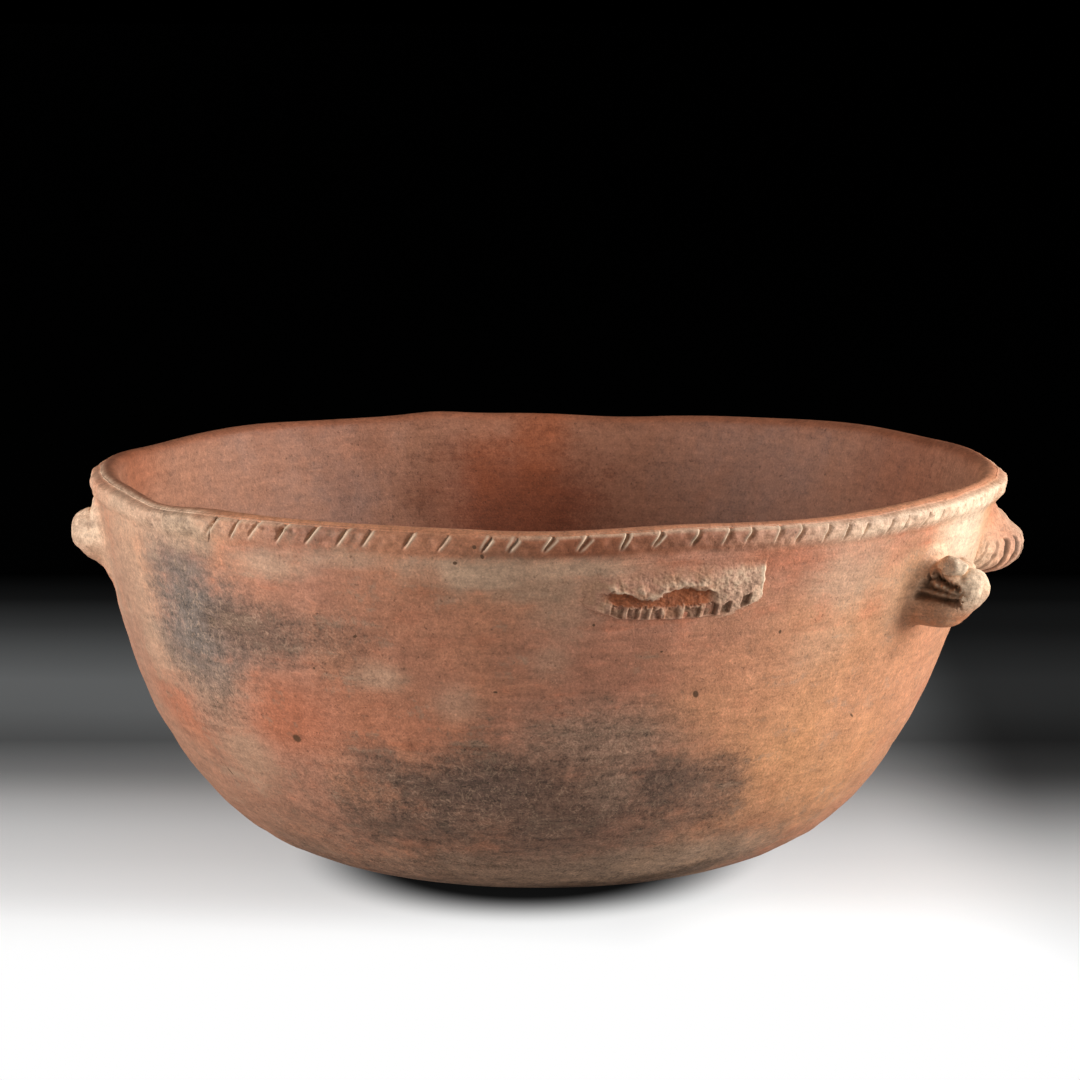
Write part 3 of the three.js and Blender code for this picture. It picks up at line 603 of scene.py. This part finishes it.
def scar_rings():
    """Broken crescent: a low swelling over the wall, torn off along a ragged edge into a gouge, with a
    ledge of small square cells left below it. All heights are functions of the distance round the wall
    and of the height above the foot, and a face sunk in the wall closes the piece."""
    arc = np.linspace(-31, 31, 340)[:, None]
    share = np.concatenate([np.linspace(0, 1, SCAR_ROWS), np.linspace(0.98, 0.02, 5)])
    low = np.interp(arc, [-31, -25, -19, -14, -8, 0, 8, 14, 18, 22, 26, 31],
                    [92.6, 90.6, 87.4, 85.4, 84.8, 84.5, 84.6, 85, 85.9, 87.4, 89.6, 93])
    bottom, top = low - 2.2, 101
    height = bottom + (top - bottom) * share
    angle = SCAR_CENTRE + np.degrees(arc / SCAR_RADIUS)
    flat = np.stack(np.broadcast_arrays(arc, 0, height), axis=-1)
    rough = clay_noise(flat, 3.4, 71)
    grit = clay_noise(flat, 1.7, 72) + 0.8 * clay_noise(flat, 0.95, 73)
    over = height - low
    ends = smooth(-27, -16, arc) * smooth(26.6, 25.4, arc + 0.25 * rough + 0.12 * (95 - height))
    tear = np.interp(arc, [-20, -15, -11, -8, -5.5, -3, 0, 3, 8, 11, 14, 20],
                     [93, 92.5, 91.9, 90.5, 90.1, 91, 92.4, 93.2, 92.8, 91.4, 90.4, 90])
    tear = tear + 0.3 * rough + 0.14 * grit
    gouged = within(arc, -20, -15, 9.5, 13.5)
    fade = smooth(100.6, 93.5, height)
    body = (0.9 + 0.5 * smooth(6, 20, arc)) * fade + 0.35 * bump(height, 99.6, 0.7) * smooth(4, -6, arc)
    torn_edge = (1.4 * fade + 0.25 * bump(height, tear + 0.9, 0.9)) * smooth(
        tear - 0.3, tear + 0.35, height)
    swelling = torn_edge * gouged + body * (1 - gouged)
    ledge = (1 + 0.12 * rough) * smooth(-0.1, 0.6, over) * smooth(4.4, 3, over + 0.2 * grit)
    tongue = 0.25 * smooth(-0.3, 0.3, over) * smooth(-24, -15, arc)
    rise = np.maximum(np.maximum(swelling, ledge * gouged), tongue) * smooth(-0.3, 0.3, over)
    cells = np.zeros_like(rise)
    painted_shade = np.zeros_like(rise)
    for place, half, deep, shadow in SCAR_CELLS:
        lean = (over - 1.6) * 0.18
        wall_low = 0.15 if deep < 1.25 else 0.4
        cell = smooth(half + 0.35, half - 0.35, np.abs(arc - place - lean + 0.14 * rough)) * smooth(
            3.7, 2.9, over + 0.25 * grit) * smooth(wall_low, wall_low + 0.5, over)
        cells = np.maximum(cells, cell * min(1, deep + 0.15))
        painted_shade = np.maximum(painted_shade, cell * shadow)
    rise = rise - cells * 0.95 * smooth(0, 0.8, rise)
    # A groove at the scar's left end, also given painted shade.
    tail = bump(arc - 0.3 * (height - 91), -23.4, 0.45) * within(height, 89.3, 90.3, 92, 93.2)
    rise = rise - 0.6 * tail
    cover = within(arc, -28, -18, 25.4, 26.6) * smooth(
        100.4, 95.5, height + 0.5 * rough + 0.05 * (8 - arc))
    rise = rise * ends + (0.05 * grit + 0.08 * rough) * cover * smooth(0, 0.8, over)
    sunk = 0.75 * smooth(0.06, 0, share) + 0.75 * smooth(0.95, 1, share)
    sunk = np.maximum(sunk + 0 * arc, 0.75 * smooth(27, 30.5, np.abs(arc)))
    rise = rise - sunk - 0.2 * (1 - cover)
    rise[:, SCAR_ROWS:] = -BURIED
    red = gouged * smooth(tear + 0.3, tear - 0.5, height) * smooth(3, 3.8, over)
    red = np.maximum(red, 0.35 * gouged * smooth(2.4, 1.6, np.abs(arc - 0.4)) * smooth(0.4, 1, over)
                     * smooth(tear, tear - 0.6, height))
    # Painted highlights along the torn edge, on the right end of the swelling and on the ledge between
    # the cells.
    lit = 0.4 * gouged * bump(height, tear + 0.7, 0.7) * smooth(-0.6, 0.6, rough)
    lit = lit + within(arc, 24.2, 25.2, 26, 26.6) * within(height, 89, 91, 97, 98.5)
    lit = lit + 0.25 * smooth(0.3, 0.8, ledge) * (1 - cells) * gouged * smooth(-1, 0.5, rough)
    pale_and_lit = cover * (0.5 * smooth(8, 19, arc) * smooth(99, 96, height)
                    + 0.25 * bump(height, tear + 1.6, 1.4) * gouged * smooth(-1, 0.8, rough))
    # Painted grey-brown shade in a band high on the swelling, fading out towards its right end.
    painted_grey_shade = cover * bump(height, 97.6 - 0.05 * arc, 2) * smooth(16, 4, arc)
    return on_wall(angle + 0 * height, at_height(height), rise), {
        "shaded_hollow": painted_shade + 0.6 * tail + 0.25 * painted_grey_shade,
        "bare": red,
        "painted_highlight": lit,
        "pale_and_lit": pale_and_lit,
        "torn": cover * smooth(0, 1, over),
    }


# Materials
class Value:
    """A node's output, so that shader maths reads as plain expressions."""

    def __init__(self, finish, socket):
        self.finish, self.socket = finish, socket

    def math(self, operation, left, right):
        return self.finish.node("Math", {"operation": operation}, {0: left, 1: right})

    def __add__(self, other):
        return self.math("ADD", self, other)

    __radd__ = __add__

    def __sub__(self, other):
        return self.math("SUBTRACT", self, other)

    def __rsub__(self, other):
        return self.math("SUBTRACT", other, self)

    def __mul__(self, other):
        return self.math("MULTIPLY", self, other)

    __rmul__ = __mul__

    def larger(self, other):
        return self.math("MAXIMUM", self, other)


class Finish:
    """A material and the few ways in which its nodes are made."""

    def __init__(self, name):
        self.material = bpy.data.materials.new(name)
        self.material.use_nodes = True
        self.tree = self.material.node_tree
        self.tree.nodes.clear()

    def node(self, kind, settings=None, inputs=None, output=0):
        made = self.tree.nodes.new("ShaderNode" + kind)
        for setting, value in (settings or {}).items():
            setattr(made, setting, value)
        for key, value in (inputs or {}).items():
            if isinstance(value, Value):
                self.tree.links.new(value.socket, made.inputs[key])
            else:
                made.inputs[key].default_value = value
        return Value(self, made.outputs[output])

    def surface(self, shader):
        """Makes a shader the material's surface."""
        end = self.tree.nodes.new("ShaderNodeOutputMaterial")
        self.tree.links.new(shader.socket, end.inputs["Surface"])

    def blend(self, factor, under, over):
        """Colour over another by a factor."""
        return self.node("Mix", {"data_type": "RGBA"}, {0: factor, 6: under, 7: over}, 2)

    def between(self, value, low, high):
        """Smooth 0 to 1 as a value goes from low to high."""
        return self.node("MapRange", {"interpolation_type": "SMOOTHSTEP"},
                         {0: value, 1: low, 2: high})

    def noise(self, where, size, detail=3.0, rough=0.55, bend=0.0):
        """Noise whose grain is so many millimetres wide."""
        return self.node("TexNoise", None, {
            "Vector": where, "Scale": 1 / size, "Detail": detail, "Roughness": rough,
            "Distortion": bend})

    def mark(self, name):
        """Value painted on the mesh's points."""
        return self.node("Attribute", {"attribute_name": name}, None, 2)


def clay_colour(red, green, blue):
    """Linear colour with full alpha, from 0 to 255 screen values."""
    return tuple(((v / 255 + 0.055) / 1.055) ** 2.4 for v in (red, green, blue)) + (1.0,)


ORANGE_CLAY = clay_colour(192, 133, 101)
PINK_CLAY = clay_colour(178, 124, 100)
BROWN_CLAY = clay_colour(163, 121, 99)
BUFF_CLAY = clay_colour(202, 147, 101)
RED_CLAY = clay_colour(180, 108, 78)
BRICK_CLAY = clay_colour(170, 113, 88)
FIRE_RED = clay_colour(172, 94, 58)
GOUGE_RED = clay_colour(146, 80, 46)
# Pale clay, and the colour of painted highlights and painted light
PALE_AND_HIGHLIGHT = clay_colour(232, 206, 178)
TAN_CRUST = clay_colour(192, 158, 132)
GREY_TAN = clay_colour(170, 140, 116)
SMOKE = clay_colour(114, 102, 94)
SOOT = clay_colour(118, 90, 75)
DEEP_SOOT = clay_colour(98, 80, 70)
ASH = clay_colour(150, 120, 101)
# Dark brown of stains, and of painted shade in hollows, cuts and pits
DARK_STAIN_AND_SHADE = clay_colour(84, 58, 37)
INNER_CLAY = clay_colour(156, 106, 82)
INNER_RED = clay_colour(147, 81, 54)
INNER_ORANGE = clay_colour(180, 127, 100)
INNER_MAUVE = clay_colour(146, 106, 90)
LIP_RED = clay_colour(146, 82, 53)
# Bright orange of the painted highlight on the lip
LIP_HIGHLIGHT_ORANGE = clay_colour(218, 150, 112)
SCAR_PINK = clay_colour(194, 144, 119)
SCAR_GREY = clay_colour(160, 124, 99)

# Patches on the outside: angle, height, half width, half height, colour, strength, softness and,
# where it is turned, the turn
OUTER_PATCHES = [
    (-160, 66, 20, 40, BROWN_CLAY, 0.8, 1.5),
    (-173, 88, 12, 18, TAN_CRUST, 0.6, 1.4),
    (-15, 88, 11, 18, BUFF_CLAY, 0.8, 1.3),
    (-31, 84, 13, 10, BUFF_CLAY, 0.7, 1.4),
    (-31, 76, 12, 7, RED_CLAY, 0.85, 1.4),
    (-156, 88, 20, 18, TAN_CRUST, 0.6, 1.5),
    (-150, 20, 40, 26, BROWN_CLAY, 0.85, 1.5),
    (-150, 51, 16, 9, RED_CLAY, 0.65, 1.4),
    (-151, 66, 9, 9, TAN_CRUST, 0.55, 1.3),
    (-137, 42, 10, 9, GREY_TAN, 0.6, 1.3),
    (-42, 48, 46, 44, BUFF_CLAY, 0.7, 1.4),
    (-104, 78, 28, 22, BRICK_CLAY, 0.6, 1.6),
    (-76, 73, 30, 10, BRICK_CLAY, 0.6, 1.4),
    (-118, 56, 24, 10, RED_CLAY, 0.45, 1.4, -4),
    (-126, 55, 12, 9, RED_CLAY, 0.8, 1.3),
    (-100, 53, 22, 7, RED_CLAY, 0.3, 1.5),
    (-48, 99, 10, 2.5, RED_CLAY, 0.5, 1.3),
    (-36, 58, 22, 14, ORANGE_CLAY, 0.5, 1.5),
    (-60, 68, 16, 18, ORANGE_CLAY, 0.5, 1.5),
    (-22, 60, 16, 26, ORANGE_CLAY, 0.6, 1.5),
    (-50, 74, 10, 7, TAN_CRUST, 0.3, 1.4, 10),
    (-110, 69, 7, 4, TAN_CRUST, 0.6, 1.3),
    (-100, 62, 6, 5, TAN_CRUST, 0.4, 1.3),
    (-88, 74, 5, 5, TAN_CRUST, 0.35, 1.3),
    (-92, 97, 20, 6, GREY_TAN, 0.7, 1.4),
    (-97, 97, 7, 3.5, TAN_CRUST, 0.8, 1.2),
    (-87, 88, 9, 7, GREY_TAN, 0.45, 1.4),
    (-100, 98, 14, 3.5, TAN_CRUST, 0.95, 1.2),
    (-112, 100.5, 14, 2.2, TAN_CRUST, 0.5, 1.3),
    (-86, 99.3, 16, 2.4, TAN_CRUST, 0.7, 1.3),
    (-123, 97.5, 12, 3.5, TAN_CRUST, 0.65, 1.3),
    (-103, 96, 5, 4, FIRE_RED, 0.4, 1.2),
    (-58, 99, 14, 3.5, RED_CLAY, 0.75, 1.2),
    (-58, 93, 10, 6, BRICK_CLAY, 0.4, 1.3),
    (-48, 93, 12, 9, TAN_CRUST, 0.6, 1.3),
    # Painted light: the wall above and to the right of the head is paled.
    (-24, 97, 15, 9, PALE_AND_HIGHLIGHT, 0.85, 1.3),
    (-15, 85, 13, 12, PALE_AND_HIGHLIGHT, 0.6, 1.3),
    # Painted shade: the flange's lower and right part is darkened with tan and grey.
    (2, 84, 11, 16, TAN_CRUST, 0.75, 1.3),
    (4, 81, 9, 9, GREY_TAN, 0.5, 1.3),
    (-36, 84, 8, 10, TAN_CRUST, 0.4, 1.3),
    (-95, 6, 70, 15, ASH, 0.85, 1.4),
    (-74, 11, 40, 9, GREY_TAN, 0.8, 1.4),
    (-88, 22, 54, 12, SOOT, 0.55, 1.4),
    (-82, 50, 22, 11, ASH, 0.85, 1.3),
    (-93, 35, 45, 15, SOOT, 0.95, 1.1),
    (-63, 36, 10, 11, SOOT, 0.7, 1),
    (-71, 40, 9, 7, DEEP_SOOT, 0.55, 1.3),
    (-98, 38, 17, 6, DEEP_SOOT, 0.5, 1.3),
    (-113, 42, 10, 6, DEEP_SOOT, 0.5, 1.3, 10),
    (-113, 25, 18, 8, DEEP_SOOT, 0.5, 1.3),
    (-79, 38, 7, 6, ASH, 0.6, 1.3),
    (-141, 97, 16, 13, SMOKE, 0.55, 1.4),
    (-140, 63, 18, 10, ASH, 0.85, 1.3),
    (-143, 53, 9, 7, ASH, 0.5, 1.3),
    (-119, 78, 15, 7, SOOT, 0.55, 1.5),
    (-162, 78, 14, 16, BROWN_CLAY, 0.5, 1.4),
    (-139, 79, 20, 16, SMOKE, 0.97, 1.1),
    (-128, 78, 16, 8.5, SOOT, 0.88, 1.2),
    (-146, 104, 26, 5.5, TAN_CRUST, 0.5, 1.2),
    (-137, 104, 12, 5, GREY_TAN, 0.9, 1.2),
    (-64, 13, 22, 7, GREY_TAN, 0.65, 1.4),
    (-50, 14, 14, 6, GREY_TAN, 0.5, 1.4),
    (-66, 5.6, 11, 3.6, DARK_STAIN_AND_SHADE, 0.85, 1.1),
    (-55, 9, 8, 3, DARK_STAIN_AND_SHADE, 0.7, 1.1),
    (-80, 4, 8, 3, DARK_STAIN_AND_SHADE, 0.65, 1.1),
]
# Pits on the outside, painted as dark shade: angle, height, half width, half height and turn
PITS = [
    (-68.5, 63.7, 0.8, 1.1, 30), (-99.6, 101, 0.6, 0.5, 0), (-125, 49, 1.4, 1.2, 0),
    (-97.4, 105.5, 0.6, 0.6, 0), (-96.5, 103, 0.5, 0.7, 20), (-112.5, 79.8, 0.7, 0.4, 20),
    (-57.5, 79, 0.5, 0.5, 0), (-145, 34, 1.4, 0.4, -40), (-39.5, 51.5, 1, 0.3, -35),
    (-95, 66, 0.6, 0.3, 0), (-83, 84, 0.4, 0.4, 0), (-74, 76, 0.4, 0.3, 0), (-119, 70, 0.4, 0.4, 0),
]
# Patches on the inside, in the same order as the outside's
INNER_PATCHES = [
    (152, 98, 34, 16, INNER_ORANGE, 0.85, 1.4),
    (128, 86, 20, 14, INNER_ORANGE, 0.4, 1.5),
    (120, 84, 8, 12, INNER_MAUVE, 0.6, 1.4),
    (93, 82, 24, 18, INNER_RED, 0.95, 1.4),
    (90, 101, 8, 12, FIRE_RED, 0.6, 1.4),
    (98, 93, 6, 10, FIRE_RED, 0.4, 1.4),
    (54, 88, 26, 20, INNER_MAUVE, 0.35, 1.4),
    (26, 98, 20, 12, INNER_RED, 0.4, 1.4),
    (166, 104, 16, 8, FIRE_RED, 0.45, 1.4),
]


# A patch reaches this deep into the wall and out of it, and a pit this deep
PATCH_DEPTH = 40
PIT_DEPTH = 4
# Half sizes out to which the distance from a patch is told
FURTHEST = 4


def wall_place(angle, height):
    """Point on the shaped wall's outside at an angle and a height, in millimetres."""
    radius = np.interp(height, WALL_HEIGHT, WALL_RADIUS)
    return hand_shape(turn_about(angle, radius, height))


def distance_on_wall(finish, where, angle, height, turn, size):
    """Distance from a place on the wall, in half sizes of an ellipsoid that lies on the wall. A
    spherical gradient gives it: it falls evenly from 1 in the middle to 0 at the furthest distance."""
    spot = finish.node("Mapping", {"vector_type": "TEXTURE"}, {
        "Vector": where,
        "Location": tuple(wall_place(angle, height)),
        "Rotation": (math.radians(turn), 0, math.radians(angle)),
        "Scale": tuple(FURTHEST * half for half in size),
    })
    near = finish.node("TexGradient", {"gradient_type": "SPHERICAL"}, {"Vector": spot}, 1)
    return FURTHEST - near * FURTHEST


def add_patches(finish, where, ragged, colour, patches):
    """Soft blots: each is the smoothed distance from its place, roughened by noise. Gives the colour
    and how far smoke covers it."""
    smoky = 0.0
    for angle, height, wide, tall, tint, strength, soft, *turned in patches:
        size = (PATCH_DEPTH, wide, tall)
        away = distance_on_wall(finish, where, angle, height, sum(turned), size)
        cover = finish.between(away + ragged, 1 + soft / 2, 1 - soft / 2) * strength
        colour = finish.blend(cover, colour, tint)
        if tint in (SMOKE, SOOT, DEEP_SOOT, ASH):
            smoky = cover.larger(smoky)
    return colour, smoky


ROUGHNESS_SPREAD = 0.14


def fired_clay(name):
    """Burnished, low-fired clay: two body colours in wide drifts with flecks of rust, blots of smoke and
    crust, scratches, streaks of the burnisher, sand grains and pin holes, with pits as painted shade.
    Marks on the mesh paint shade into hollows and highlights on lit edges, pale the pale clay and the
    painted-lit parts and redden bare breaks."""
    finish = Finish(name)
    spot = finish.node("TexCoord", None, None, 3)
    where = finish.node("VectorMath", {"operation": "SCALE"}, {0: spot, "Scale": 1 / MM})
    drift = finish.noise(where, 48, 3.0, 0.55)
    mottle = finish.noise(where, 11, 4.0, 0.62)
    fine = finish.noise(where, 2.4, 4.0, 0.68)
    grain = finish.noise(where, 0.6, 2.0, 0.6)
    sand = finish.noise(where, 1.1, 1.0, 0.5)
    stretched = finish.node("Mapping", {"vector_type": "POINT"},
                            {"Vector": where, "Scale": (0.16, 0.16, 1.0)})
    streak = finish.noise(stretched, 1.6, 3.0, 0.6)
    brushed = finish.noise(stretched, 5, 4.0, 0.65, 0.4)
    crackle = finish.noise(where, 3.6, 2.0, 0.5, 1.2) - 0.5
    scratch = finish.between(crackle * crackle, 0.0006, 0.00005)
    flecks = mottle * 0.5 + brushed * 0.5
    body = finish.blend(finish.between(drift, 0.38, 0.62), ORANGE_CLAY, PINK_CLAY)
    body = finish.blend(finish.between(flecks, 0.52, 0.64) * 0.5, body, RED_CLAY)
    ragged = (mottle - 0.5) * 1.1 + (brushed - 0.5) * 0.7 + (fine - 0.5) * 0.5
    outer, smoky = add_patches(finish, where, ragged, body, OUTER_PATCHES)
    dusty = finish.between(flecks + (fine - 0.5) * 0.4, 0.46, 0.32) * 0.45
    outer = finish.blend(dusty, outer, TAN_CRUST)
    outer = finish.blend(scratch * (smoky * 0.35 + dusty * 0.6), outer, TAN_CRUST)
    inner = finish.blend(0.85, body, INNER_CLAY)
    inner = add_patches(finish, where, ragged, inner, INNER_PATCHES)[0]
    colour = finish.blend(finish.mark("inside"), outer, inner)
    colour = finish.blend(finish.mark("lip") * 0.9, colour, LIP_RED)
    # Painted highlight along the lip's top, from the glow mark.
    colour = finish.blend(finish.mark("glow") * 0.85, colour, LIP_HIGHLIGHT_ORANGE)
    torn = finish.mark("torn")
    crust = finish.between(mottle * 0.4 + fine * 0.6, 0.44, 0.56)
    colour = finish.blend(torn * 0.85, colour, finish.blend(crust, SCAR_PINK, SCAR_GREY))
    # Pale clay and painted light from the pale mark, in mottles.
    paleness = finish.between(mottle + (fine - 0.5) * 0.8, 0.3, 0.62) * 0.45 + 0.55
    colour = finish.blend(finish.mark("pale_and_lit") * paleness, colour, PALE_AND_HIGHLIGHT)
    colour = finish.blend(finish.mark("bare") * 0.9, colour, GOUGE_RED)
    crumb = 0.5 * fine + 0.4 * grain + 0.35 * streak + 0.25 * mottle
    rougher = smoky.larger(torn * 0.3)
    shade = (crumb - 0.75) * (rougher * 2 + 1.8) + 1
    specks = finish.between(sand, 0.64, 0.72)
    holes = finish.between(sand, 0.31, 0.25)
    shade = shade + 0.2 * specks - 0.3 * holes
    mixed = finish.node("VectorMath", {"operation": "SCALE"}, {0: colour, "Scale": shade})
    # Painted shade in each pit.
    for angle, height, wide, tall, turn in PITS:
        away = distance_on_wall(finish, where, angle, height, turn, (PIT_DEPTH, wide, tall))
        mixed = finish.blend(finish.between(away, 1.15, 0.7) * 0.9, mixed, DARK_STAIN_AND_SHADE)
    # Painted shade in hollows, slits, cuts and cells, from the hollow mark.
    painted_shade = finish.mark("shaded_hollow") * 0.7
    painted_shade.socket.node.name = "hollows"
    mixed = finish.blend(painted_shade, mixed, DARK_STAIN_AND_SHADE)
    # Painted highlights along lit edges, from the highlight mark.
    mixed = finish.blend(finish.mark("painted_highlight") * 0.85, mixed, PALE_AND_HIGHLIGHT)
    height = fine * 0.5 + grain * 0.15 + streak * 0.35 - holes * 0.25
    relief = finish.node("Bump", None, {"Height": height, "Strength": 0.4, "Distance": 0.0008})
    rough = finish.between(mottle, 0.2, 0.8) * ROUGHNESS_SPREAD + (0.6 - ROUGHNESS_SPREAD / 2)
    rough.socket.node.name = "roughness"
    finish.surface(finish.node("BsdfPrincipled", None, {
        "Base Color": mixed, "Roughness": rough, "Normal": relief, "Specular IOR Level": 0.35}))
    return finish.material


def clay_like(material, name, hollows, rough):
    """The same clay under another name, with its own depth of painted shade in hollows and its own
    roughness.
    """
    made = material.copy()
    made.name = name
    made.node_tree.nodes["hollows"].inputs[1].default_value = hollows
    made.node_tree.nodes["roughness"].inputs[1].default_value = rough - ROUGHNESS_SPREAD / 2
    return made


# Pieces
burnished = fired_clay("burnished_clay")
strip_clay = clay_like(burnished, "strip_clay", 0.75, 0.68)
effigy_clay = clay_like(burnished, "effigy_clay", 0.92, 0.7)
broken_clay = clay_like(burnished, "broken_clay", 0.75, 0.85)

clay_piece("vessel", vessel_rings(), burnished,
           ["base_pad", "rim_coil"] + [f"wall_coil_{n}" for n in range(1, 6)])
near_lap, far_lap = STRIP_LAPS
for number, start, end, stations in ((1, near_lap, far_lap, 2200), (2, far_lap, near_lap + 360, 900)):
    clay_piece(f"notched_strip_{number}", strip_rings(start, end, stations), strip_clay,
               [f"rim_fillet_{number}"])
head = lug_rings(HEAD_ANGLE, HEAD_DROP, HEAD_TABLE, 170, 180, head_carve)
clay_piece("animal_head", head, effigy_clay, ["head"])
for name, near in (("eye_pellet_near", True), ("eye_pellet_far", False)):
    clay_piece("clay_" + name, eye_rings(near), effigy_clay, [name])
for name, angle in HIND_ANGLES.items():
    limb = lug_rings(angle, HIND_DROP, HIND_TABLE, 80, 96, hind_carve)
    clay_piece("smooth_" + name, limb, effigy_clay, [name])
clay_piece("notched_front_left_limb", flange_rings(), effigy_clay, ["front_left_limb"])
clay_piece("broken_front_right_limb", scar_rings(), broken_clay, ["front_right_limb"])


# Floor, light and camera, in metres
FLOOR_HALF = 6
# Painted light: brightness of the floor at distances behind the pot's axis, a pool of light in front that
# fades to dark behind
PAINTED_FLOOR_LIGHT = [
    (-0.15, 1), (-0.12, 0.93), (-0.09, 0.83), (-0.05, 0.69), (-0.01, 0.57), (0.03, 0.48), (0.07, 0.38),
    (0.114, 0.21), (0.163, 0.09), (0.214, 0.115), (0.27, 0.117), (0.33, 0.075), (0.38, 0.036),
    (0.44, 0.008), (0.5, 0.0006),
]


def add_floor():
    """Plain floor with painted light, as the camera sees it: a painted pool of light, white in front and
    fading to dark behind, a painted shadow to the right, a painted contact shadow close about the foot
    and painted shade that deepens towards +X. The camera sees much of the front glow. It throws little
    light back on the pot, and keeps the pot's shadow."""
    finish = Finish("floor")
    spot = finish.node("TexCoord", None, None, 3)
    side, back = (finish.node("SeparateXYZ", None, {0: spot}, axis) for axis in (0, 1))
    shade = 1.0
    nearest = PAINTED_FLOOR_LIGHT[0]
    for place, value in PAINTED_FLOOR_LIGHT[1:]:
        step = finish.node("MapRange", None, {0: back, 1: nearest[0], 2: place})
        shade = shade + step * (value - nearest[1])
        nearest = place, value
    # Painted shadow on the floor to the right of the pot, reaching back from beside it.
    right = finish.between(side, 0.095, 0.148) * finish.between(back, -0.04, 0.12) * finish.between(
        back, 0.52, 0.36) * (0.83 - 0.06 * finish.between(back, 0.15, 0.25))
    # Painted contact shadow close about the foot.
    about_foot = finish.node("VectorMath", {"operation": "MULTIPLY_ADD"}, {
        0: spot, 1: (1.4, 1.0, 1.0), 2: (0.0055, 0, 0)})
    away = finish.node("VectorMath", {"operation": "LENGTH"}, {0: about_foot}, 1)
    clear_of_painted_foot_shadow = finish.between(away, 0.058, 0.093)
    # The painted shadows darken the floor, and painted shade deepens evenly towards +X.
    shade = shade * (1 - right) * (clear_of_painted_foot_shadow * 0.99 + 0.01) * (1 - side * 0.85)
    # Painted light on the floor near the pot's right side, in front.
    painted_light_near_right = finish.between(side, 0.02, 0.06) * finish.between(side, 0.15, 0.1)
    shade = shade * (painted_light_near_right * finish.between(back, 0.1, 0) * 0.22 + 1)
    lit = finish.node("Math", {"operation": "MINIMUM"}, {0: shade * 1.1, 1: 1.0})
    share = finish.between(back, 0.16, 0.02) * 0.65 + finish.between(back, -0.05, -0.15) * 0.35
    path = finish.node("LightPath")
    seen = finish.node("BsdfDiffuse", None, {0: finish.node("CombineColor", None, {
        0: shade * 1.36, 1: shade * 1.44, 2: shade * 1.5})})
    # Glow of the painted light, seen by the camera alone.
    glow = finish.node("Emission", None, {0: finish.node("CombineColor", None, {0: lit, 1: lit, 2: lit})})
    seen = finish.node("MixShader", None, {0: share, 1: seen, 2: glow})
    unseen = finish.node("BsdfDiffuse", None, {0: (0.52, 0.52, 0.52, 1)})
    finish.surface(finish.node("MixShader", None, {0: path, 1: unseen, 2: seen}))
    mesh = bpy.data.meshes.new("floor")
    corners = [(x * FLOOR_HALF, y * FLOOR_HALF, 0) for x, y in ((-1, -1), (1, -1), (1, 1), (-1, 1))]
    mesh.from_pydata(corners, [], [(0, 1, 2, 3)])
    mesh.materials.append(finish.material)
    floor = bpy.data.objects.new("floor", mesh)
    bpy.context.scene.collection.objects.link(floor)


def add_softbox(name, place, size, watts, tint):
    """Rectangular soft light at a place, aimed at the pot."""
    lamp = bpy.data.lights.new(name, "AREA")
    lamp.shape = "RECTANGLE"
    lamp.size, lamp.size_y = size
    lamp.energy = watts
    lamp.color = tint
    box = bpy.data.objects.new(name, lamp)
    box.location = place
    box.rotation_euler = (Vector((0, 0, 0.06)) - Vector(place)).to_track_quat("-Z", "Y").to_euler()
    bpy.context.scene.collection.objects.link(box)


PHOTO_PIXELS = 1080
FOCAL_PIXELS = 4678
CAMERA_DISTANCE = 1.3
CAMERA_RISE = 8.5
AIM_HEIGHT = 0.088


def add_camera():
    """Camera at the photograph's angle, aimed at a place on the pot's axis."""
    camera = bpy.data.cameras.new("camera")
    camera.sensor_width = 36
    camera.lens = camera.sensor_width * FOCAL_PIXELS / PHOTO_PIXELS
    camera.clip_end = 50
    holder = bpy.data.objects.new("camera", camera)
    rise = math.radians(CAMERA_RISE)
    target = Vector((0, 0, AIM_HEIGHT))
    holder.location = target + CAMERA_DISTANCE * Vector((0, -math.cos(rise), math.sin(rise)))
    holder.rotation_euler = (target - holder.location).to_track_quat("-Z", "Y").to_euler()
    bpy.context.scene.collection.objects.link(holder)
    bpy.context.scene.camera = holder


def add_world():
    """Dim white light from all round, which the camera and gloss see as black."""
    world = bpy.data.worlds.new("studio")
    world.use_nodes = True
    bpy.context.scene.world = world
    nodes, links = world.node_tree.nodes, world.node_tree.links
    path = nodes.new("ShaderNodeLightPath")
    seen = nodes.new("ShaderNodeMath")
    seen.operation = "MAXIMUM"
    strength = nodes.new("ShaderNodeMix")
    strength.data_type = "FLOAT"
    strength.inputs["A"].default_value = 0.12
    strength.inputs["B"].default_value = 0.0
    links.new(path.outputs["Is Camera Ray"], seen.inputs[0])
    links.new(path.outputs["Is Glossy Ray"], seen.inputs[1])
    links.new(seen.outputs[0], strength.inputs["Factor"])
    links.new(strength.outputs[0], nodes["Background"].inputs["Strength"])
    nodes["Background"].inputs["Color"].default_value = (1, 1, 1, 1)


WARM_WHITE = (1, 0.97, 0.93)
add_floor()
add_softbox("right_softbox", (1.1, -0.2, 0.42), (0.75, 0.75), 20, WARM_WHITE)
add_softbox("left_softbox", (-1.05, -0.34, 0.2), (0.6, 0.5), 13, WARM_WHITE)
add_camera()
add_world()
bpy.context.scene.view_settings.view_transform = "Standard"
